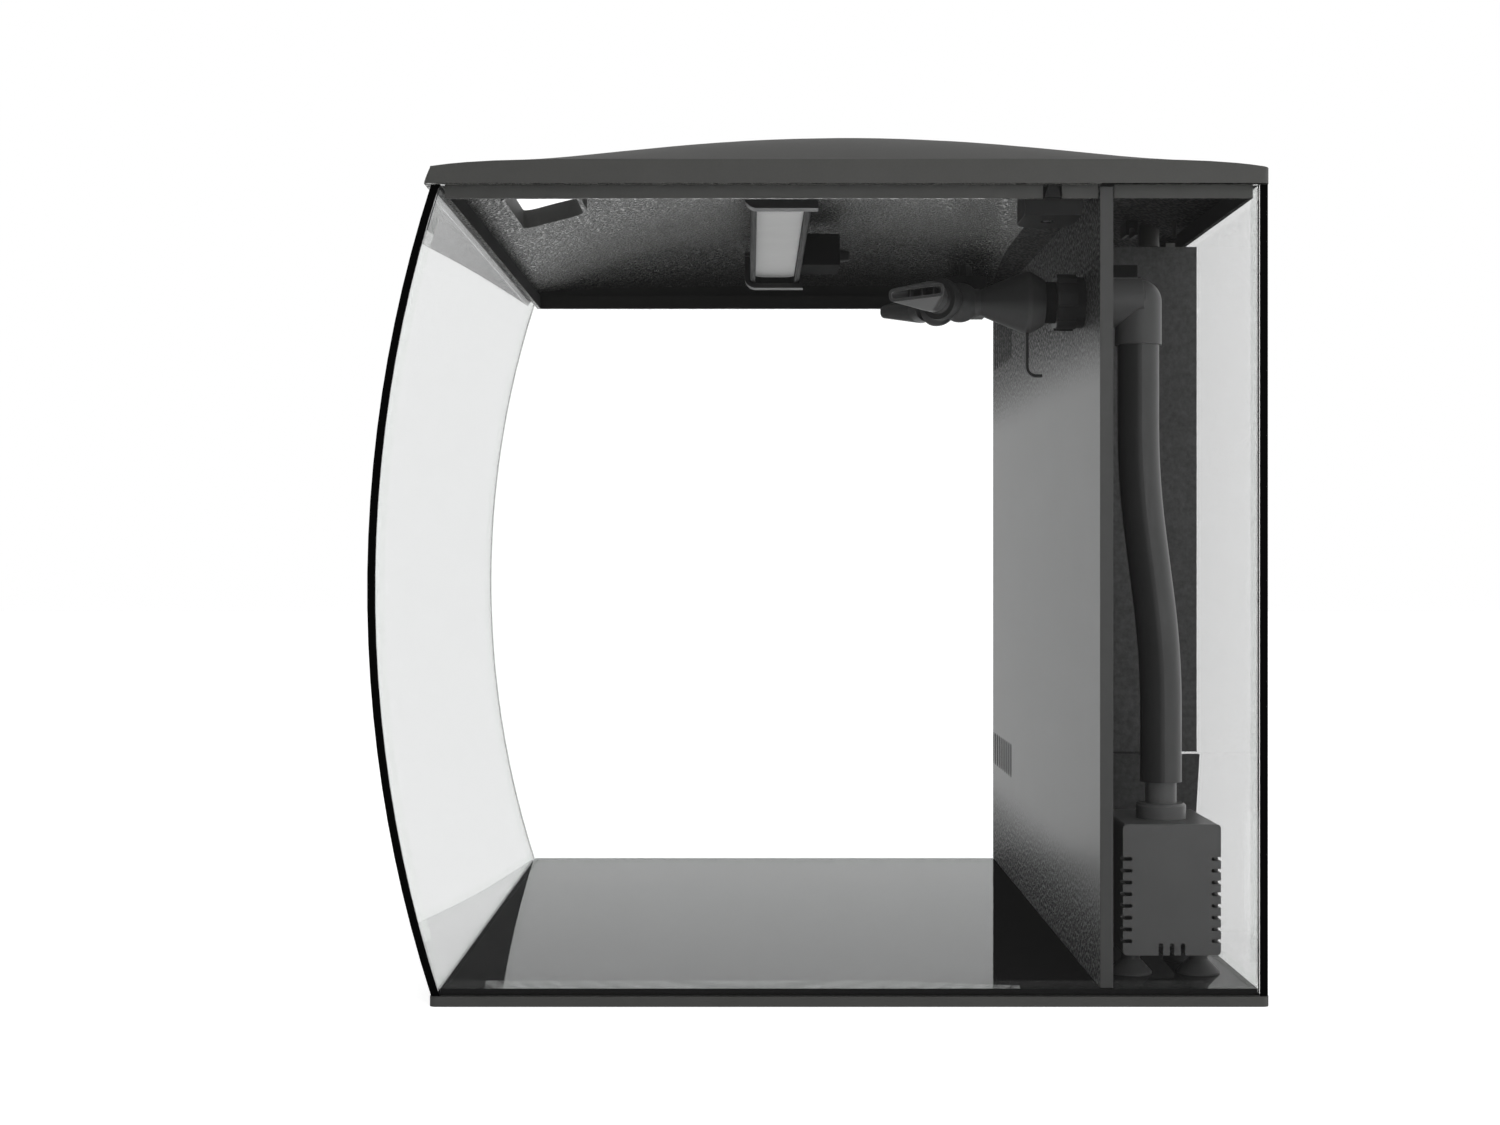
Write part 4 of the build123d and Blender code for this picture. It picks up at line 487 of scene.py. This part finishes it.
# Painted shade, nearly black, where the underside covers the compartment.
COMPARTMENT_SHADE_TONE = 0.3
SKIRT_SHADE_TONE = 0.25         # inner faces of the skirt, painted shade
SKIRT_REACH = 0.17        # distance from the lid's middle at which a face belongs to the skirt
DOWNWARD = -0.6           # a face looks down from this much of its normal
UNDER_GRAIN = 1.4
RIM_UPWARD = 0.3          # a face counts as rim up to this much of its normal upwards
RIM_SHEEN = 0.5           # roughness of the upright rim
TOP_SHEEN = 0.72
UNDER_SHEEN = 0.25
DULL_SHEEN = 0.95       # also the skirt's
lid_grey = moulded("lid_grey", TRIM_GREY, RIM_SHEEN, 0.0006, 0.00004)
tree = lid_grey.node_tree
grain = tree.nodes["grain"]
place = put(tree, "TexCoord")
facing = put(tree, "SeparateXYZ", {"Vector": place.outputs["Normal"]})
along = put(tree, "SeparateXYZ", {"Vector": place.outputs["Object"]})
underneath = calc(tree, "LESS_THAN", facing.outputs["Z"], DOWNWARD)
over_compartment = calc(tree, "GREATER_THAN", along.outputs["Y"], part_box("compartment_wall")[0][1])
dome_tone = put(tree, "MapRange", {"Value": facing.outputs["X"]},
                {"From Min": -DOME_TILT, "From Max": DOME_TILT,
                 "To Min": UNDER_TONE * RIGHT_TONE, "To Max": UNDER_TONE * LEFT_TONE})
under_tone = put(tree, "MapRange", {"Value": over_compartment, "To Min": dome_tone.outputs["Result"]},
                 {"To Max": COMPARTMENT_SHADE_TONE})
low, high = (Vector(corner_point) for corner_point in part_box("lid_shell"))
from_middle = put(tree, "VectorMath", {0: place.outputs["Object"]}, operation="SUBTRACT")
from_middle.inputs[1].default_value = (low + high) / 2
level = put(tree, "VectorMath", {0: place.outputs["Normal"]}, operation="MULTIPLY")
level.inputs[1].default_value = (1, 1, 0)
outward = put(tree, "VectorMath", {0: from_middle.outputs["Vector"], 1: level.outputs["Vector"]},
              operation="DOT_PRODUCT")
inner = calc(tree, "LESS_THAN", outward.outputs["Value"], -SKIRT_REACH)
side_tone = put(tree, "MapRange", {"Value": inner}, {"To Min": 1.0, "To Max": SKIRT_SHADE_TONE})
tone = put(tree, "MapRange", {"Value": underneath, "To Min": side_tone.outputs["Result"],
                              "To Max": under_tone.outputs["Result"]})
colour = put(tree, "VectorMath", {"Scale": tone.outputs["Result"]}, operation="SCALE")
colour.inputs[0].default_value = TRIM_GREY
tree.links.new(colour.outputs["Vector"], grain.inputs["Colour"])
tree.links.new(calc(tree, "MULTIPLY", underneath, UNDER_GRAIN), grain.inputs["Coarse"])
under_dull = put(tree, "MapRange", {"Value": over_compartment}, {"To Min": UNDER_SHEEN, "To Max": DULL_SHEEN})
outside_dull = put(tree, "MapRange", {"Value": facing.outputs["Z"]},
                   {"From Min": RIM_UPWARD, "To Min": RIM_SHEEN, "To Max": TOP_SHEEN})
side_dull = put(tree, "MapRange", {"Value": inner, "To Min": outside_dull.outputs["Result"]},
                {"To Max": DULL_SHEEN})
dull = put(tree, "MapRange", {"Value": underneath, "To Min": side_dull.outputs["Result"],
                              "To Max": under_dull.outputs["Result"]})
tree.links.new(dull.outputs["Result"], grain.inputs["Roughness"])
give(lid_grey, "lid_shell")

# ---------------------------------------------------------------- black fittings and screws
# Catches on the lid's skirt, a junction box, a cable clip, the lamp's housing with the two
# brackets that grip its ends, and the connector's nut. Steel screws hold catches and brackets.
fitting_black = moulded("fitting_black", BLACK, 0.55, 0.0005, 0.00003, edge_wear_and_highlight=1.2, Specular_IOR_Level=0.12)
give(fitting_black, "left_lid_catch", "right_lid_catch", "cable_clip", "lamp_housing")
box_black = moulded("box_black", (0.012, 0.012, 0.012), 0.95, 0.0005, 0.00003, edge_wear_and_highlight=0.6,
                    Specular_IOR_Level=0.12)
give(box_black, "junction_box", "junction_cover")
bracket_black = moulded("bracket_black", (0.02, 0.02, 0.02), 0.42, 0.0005, 0.00002, edge_wear_and_highlight=1.2)
give(bracket_black, "left_lamp_bracket", "right_lamp_bracket")
give(moulded("nut_black", (0.02, 0.02, 0.02), 0.45, 0.0005, 0.00003, edge_wear_and_highlight=0.8), "lock_nut")
give(moulded("steel", (0.6, 0.6, 0.6), 0.28, 0.0003, 0.000003, Metallic=1.0),
     "catch_screws", "bracket_screws")

# ---------------------------------------------------------------- inside of the lamp
# A milky diffuser in the underside of the housing, and above it a white board with a row of
# yellow diodes.
# Painted light: the diffuser glows faintly, though the lamp is off.
give(moulded("diffuser_white", (0.84, 0.84, 0.83), 0.45, 0.0009, 0.00006,
             Emission_Color=(1, 1, 0.99, 1), Emission_Strength=0.1), "lamp_diffuser")
give(moulded("board_white", (0.8, 0.8, 0.78), 0.3, 0.0006, 0.00001), "lamp_board")
give(moulded("diode_yellow", (0.93, 0.8, 0.35), 0.3, 0.0006, 0.00001), "lamp_leds")


# ---------------------------------------------------------------- foam block
# Coarse open-cell filter foam, sawn to size and pressed in between the side pane and the baffle.
# Its faces wander a little, its edges are soft, and its cells show as dark pits, painted shade in their
# hollows.
def soft_block(name, node, margin, corner, voxel):
    """Closed form with round corners inside a CAD node's box, remeshed evenly."""
    low, high = (Vector(corner_point) for corner_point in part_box(node))
    bpy.ops.object.select_all(action="DESELECT")
    bpy.ops.mesh.primitive_cube_add(size=1, location=(low + high) / 2)
    block = bpy.context.object
    block.name = name
    block.scale = high - low - 2 * Vector(margin)
    bpy.ops.object.transform_apply(location=True, rotation=True, scale=True)
    rounding = block.modifiers.new("rounding", "BEVEL")
    rounding.width = corner
    rounding.segments = 4
    bpy.ops.object.modifier_apply(modifier=rounding.name)
    even = block.modifiers.new("even", "REMESH")
    even.voxel_size = voxel
    bpy.ops.object.modifier_apply(modifier=even.name)
    return block


def refine(piece, levels):
    """Applies a subdivision surface."""
    smooth = piece.modifiers.new("smooth", "SUBSURF")
    smooth.levels = levels
    smooth.render_levels = levels
    bpy.context.view_layer.objects.active = piece
    bpy.ops.object.modifier_apply(modifier=smooth.name)


def cell_texture(tree, size, **settings):
    """Voronoi cells of this size in object space."""
    place = put(tree, "TexCoord").outputs["Object"]
    return put(tree, "TexVoronoi", {"Vector": place}, {"Scale": 1 / size}, **settings)


FOAM_MARGIN = (0.0006, 0.0006, 0.0006)   # room around the block, which its wandering faces take up
FOAM_CORNER = 0.003
FOAM_VOXEL = 0.004
WANDER_PER_METRE = 22     # how often a sawn face wanders in and out
WANDER = 0.0005           # and how far
CELL_SIZE = 0.0021
foam = soft_block("filter_foam_block", "foam_block", FOAM_MARGIN, FOAM_CORNER, FOAM_VOXEL)
for vertex in foam.data.vertices:
    vertex.co += Vector(noise.noise_vector(vertex.co * WANDER_PER_METRE)) * WANDER
refine(foam, 1)
bpy.ops.object.shade_smooth()
finish, tree, out = blank_finish("open_cell_foam")
strands = cell_texture(tree, CELL_SIZE, feature="DISTANCE_TO_EDGE")
shade = put(tree, "ValToRGB", {"Fac": strands.outputs["Distance"]})
shade.color_ramp.elements[0].color = (0.062, 0.068, 0.075, 1)
shade.color_ramp.elements[1].color = (0.004, 0.004, 0.005, 1)
shade.color_ramp.elements[1].position = 0.28
bump = put(tree, "Bump", {"Height": strands.outputs["Distance"]},
           {"Distance": 0.0012, "Strength": 1.0}, invert=True)
surface = put(tree, "BsdfPrincipled",
              {"Base Color": shade.outputs["Color"], "Normal": bump.outputs["Normal"]},
              {"Roughness": 0.85, "Specular IOR Level": 0.25})
tree.links.new(surface.outputs[0], out.inputs["Surface"])
foam.data.materials.append(finish)
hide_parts("foam_block")
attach(foam, "tank")


# ---------------------------------------------------------------- media bags
# Two net bags, one of white ceramic rings and one of black carbon granules. Each is a knitted
# tube filled nearly tight, which bulges between its welded side seams, with a flat welded hem.
CLOTH_PRESSURE = 4.0
CLOTH_STEPS = 20


def puff(piece, cap):
    """Swells a closed form by cloth pressure; no point moves further than the cap."""
    starts = [vertex.co.copy() for vertex in piece.data.vertices]
    cloth = piece.modifiers.new("cloth", "CLOTH")
    cloth.settings.use_pressure = True
    cloth.settings.uniform_pressure_force = CLOTH_PRESSURE
    cloth.settings.effector_weights.gravity = 0
    for step in range(1, CLOTH_STEPS + 1):
        bpy.context.scene.frame_set(step)
    bpy.context.view_layer.objects.active = piece
    bpy.ops.object.modifier_apply(modifier=cloth.name)
    bpy.context.scene.frame_set(1)
    for vertex, start in zip(piece.data.vertices, starts):
        move = vertex.co - start
        if move.length > cap:
            vertex.co = start + move * (cap / move.length)


def pressed_lumps(piece, size, height):
    """Pushes the bag's skin out where the filling lies against it."""
    normals = [vertex.normal.copy() for vertex in piece.data.vertices]
    for vertex, normal in zip(piece.data.vertices, normals):
        nearest = noise.voronoi(vertex.co / size)[0][0]
        vertex.co += normal * height * (0.5 - nearest)


def net_finish(name, thread, filling, gap_shade, size):
    """Knitted net over a filling: threads in a square mesh, lumps, and painted shade in the gaps behind them.
    """
    finish, tree, out = blank_finish(name)
    place = put(tree, "TexCoord")
    spot = put(tree, "SeparateXYZ", {"Vector": place.outputs["Object"]})
    facing = put(tree, "SeparateXYZ", {"Vector": place.outputs["Normal"]})
    sideways = calc(tree, "GREATER_THAN", calc(tree, "ABSOLUTE", facing.outputs["X"]), BROAD_SIDE)
    across = put(tree, "MapRange",
                 {"Value": sideways, "To Min": spot.outputs["X"], "To Max": spot.outputs["Y"]})
    threads = []
    for level in (across.outputs["Result"], spot.outputs["Z"]):
        turns = calc(tree, "MULTIPLY", level, math.pi / NET_PITCH)
        wave = calc(tree, "ABSOLUTE", calc(tree, "SINE", turns))
        threads.append(calc(tree, "SUBTRACT", 1.0, wave))
    net = calc(tree, "MAXIMUM", *threads)
    net_mask = put(tree, "MapRange", {"Value": net}, {"From Min": 0.45, "From Max": 0.75})
    lumps = cell_texture(tree, size)
    shade = put(tree, "ValToRGB", {"Fac": lumps.outputs["Distance"]})
    shade.color_ramp.elements[0].color = (*filling, 1)
    shade.color_ramp.elements[0].position = 0.35
    shade.color_ramp.elements[1].color = (*gap_shade, 1)
    shade.color_ramp.elements[1].position = 0.75
    colour = put(tree, "MixRGB", {"Fac": net_mask.outputs["Result"], "Color1": shade.outputs["Color"]},
                 {"Color2": (*thread, 1)})
    relief = put(tree, "Bump", {"Height": net_mask.outputs["Result"]}, {"Distance": 0.0003, "Strength": 0.8})
    surface = put(tree, "BsdfPrincipled",
                  {"Base Color": colour.outputs["Color"], "Normal": relief.outputs["Normal"]},
                  {"Roughness": 0.75, "Specular IOR Level": 0.3})
    tree.links.new(surface.outputs[0], out.inputs["Surface"])
    return finish


NET_PITCH = 0.0022
BAG_MARGIN = (0.003, 0.003, 0.0055)      # room around the bag, which it swells into
BAG_CORNER = 0.011
BAG_VOXEL = 0.0045
BAG_SWELL = 0.0028        # no point of the skin swells further
HEM_HEIGHT = 0.009
HEM_THICKNESS = 0.0016
HEM_END = 0.012           # bag's side to the end of its hem
HEM_CUTS = 16
HEM_WAVE = 0.005          # how far the hem waves in and out
WAVES_ALONG = 45          # how often it waves in a metre, along the hem and up it
WAVES_UP = 30
BAGS = (
    # node, slot, thread, filling, gap shade, size of a lump, height of a lump
    ("ring_bag", "ring_mesh",
     (0.8, 0.79, 0.75), (0.72, 0.68, 0.6), (0.1, 0.09, 0.08), 0.0125, 0.0030),
    ("carbon_bag", "carbon_mesh",
     (0.06, 0.06, 0.062), (0.03, 0.03, 0.03), (0.004, 0.004, 0.004), 0.0048, 0.0014),
)
for node, slot_name, thread, filling, gap_shade, lump, lump_height in BAGS:
    net = net_finish(node + "_net", thread, filling, gap_shade, lump)
    bag = soft_block(node + "_filled", node, BAG_MARGIN, BAG_CORNER, BAG_VOXEL)
    puff(bag, BAG_SWELL)
    refine(bag, 2)
    pressed_lumps(bag, lump, lump_height)
    bpy.ops.object.shade_smooth()
    bag.data.materials.append(net)
    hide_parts(node)
    low, high = (Vector(corner_point) for corner_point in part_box(node))
    bpy.ops.object.select_all(action="DESELECT")
    middle = (low + high) / 2
    bpy.ops.mesh.primitive_cube_add(size=1, location=(middle.x, middle.y, high.z - HEM_HEIGHT / 2))
    hem = bpy.context.object
    hem.name = node + "_hem"
    hem.scale = (high.x - low.x - 2 * HEM_END, HEM_THICKNESS, HEM_HEIGHT)
    bpy.ops.object.transform_apply(location=True, rotation=True, scale=True)
    bpy.ops.object.mode_set(mode="EDIT")
    bpy.ops.mesh.select_all(action="SELECT")
    bpy.ops.mesh.subdivide(number_cuts=HEM_CUTS)
    bpy.ops.object.mode_set(mode="OBJECT")
    for vertex in hem.data.vertices:
        place_in_wave = Vector((vertex.co.x * WAVES_ALONG, 0, vertex.co.z * WAVES_UP))
        vertex.co.y += HEM_WAVE * noise.noise(place_in_wave)
    refine(hem, 1)
    bpy.ops.object.shade_smooth()
    hem.data.materials.append(net)
    for piece in (bag, hem):
        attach(piece, "tank")
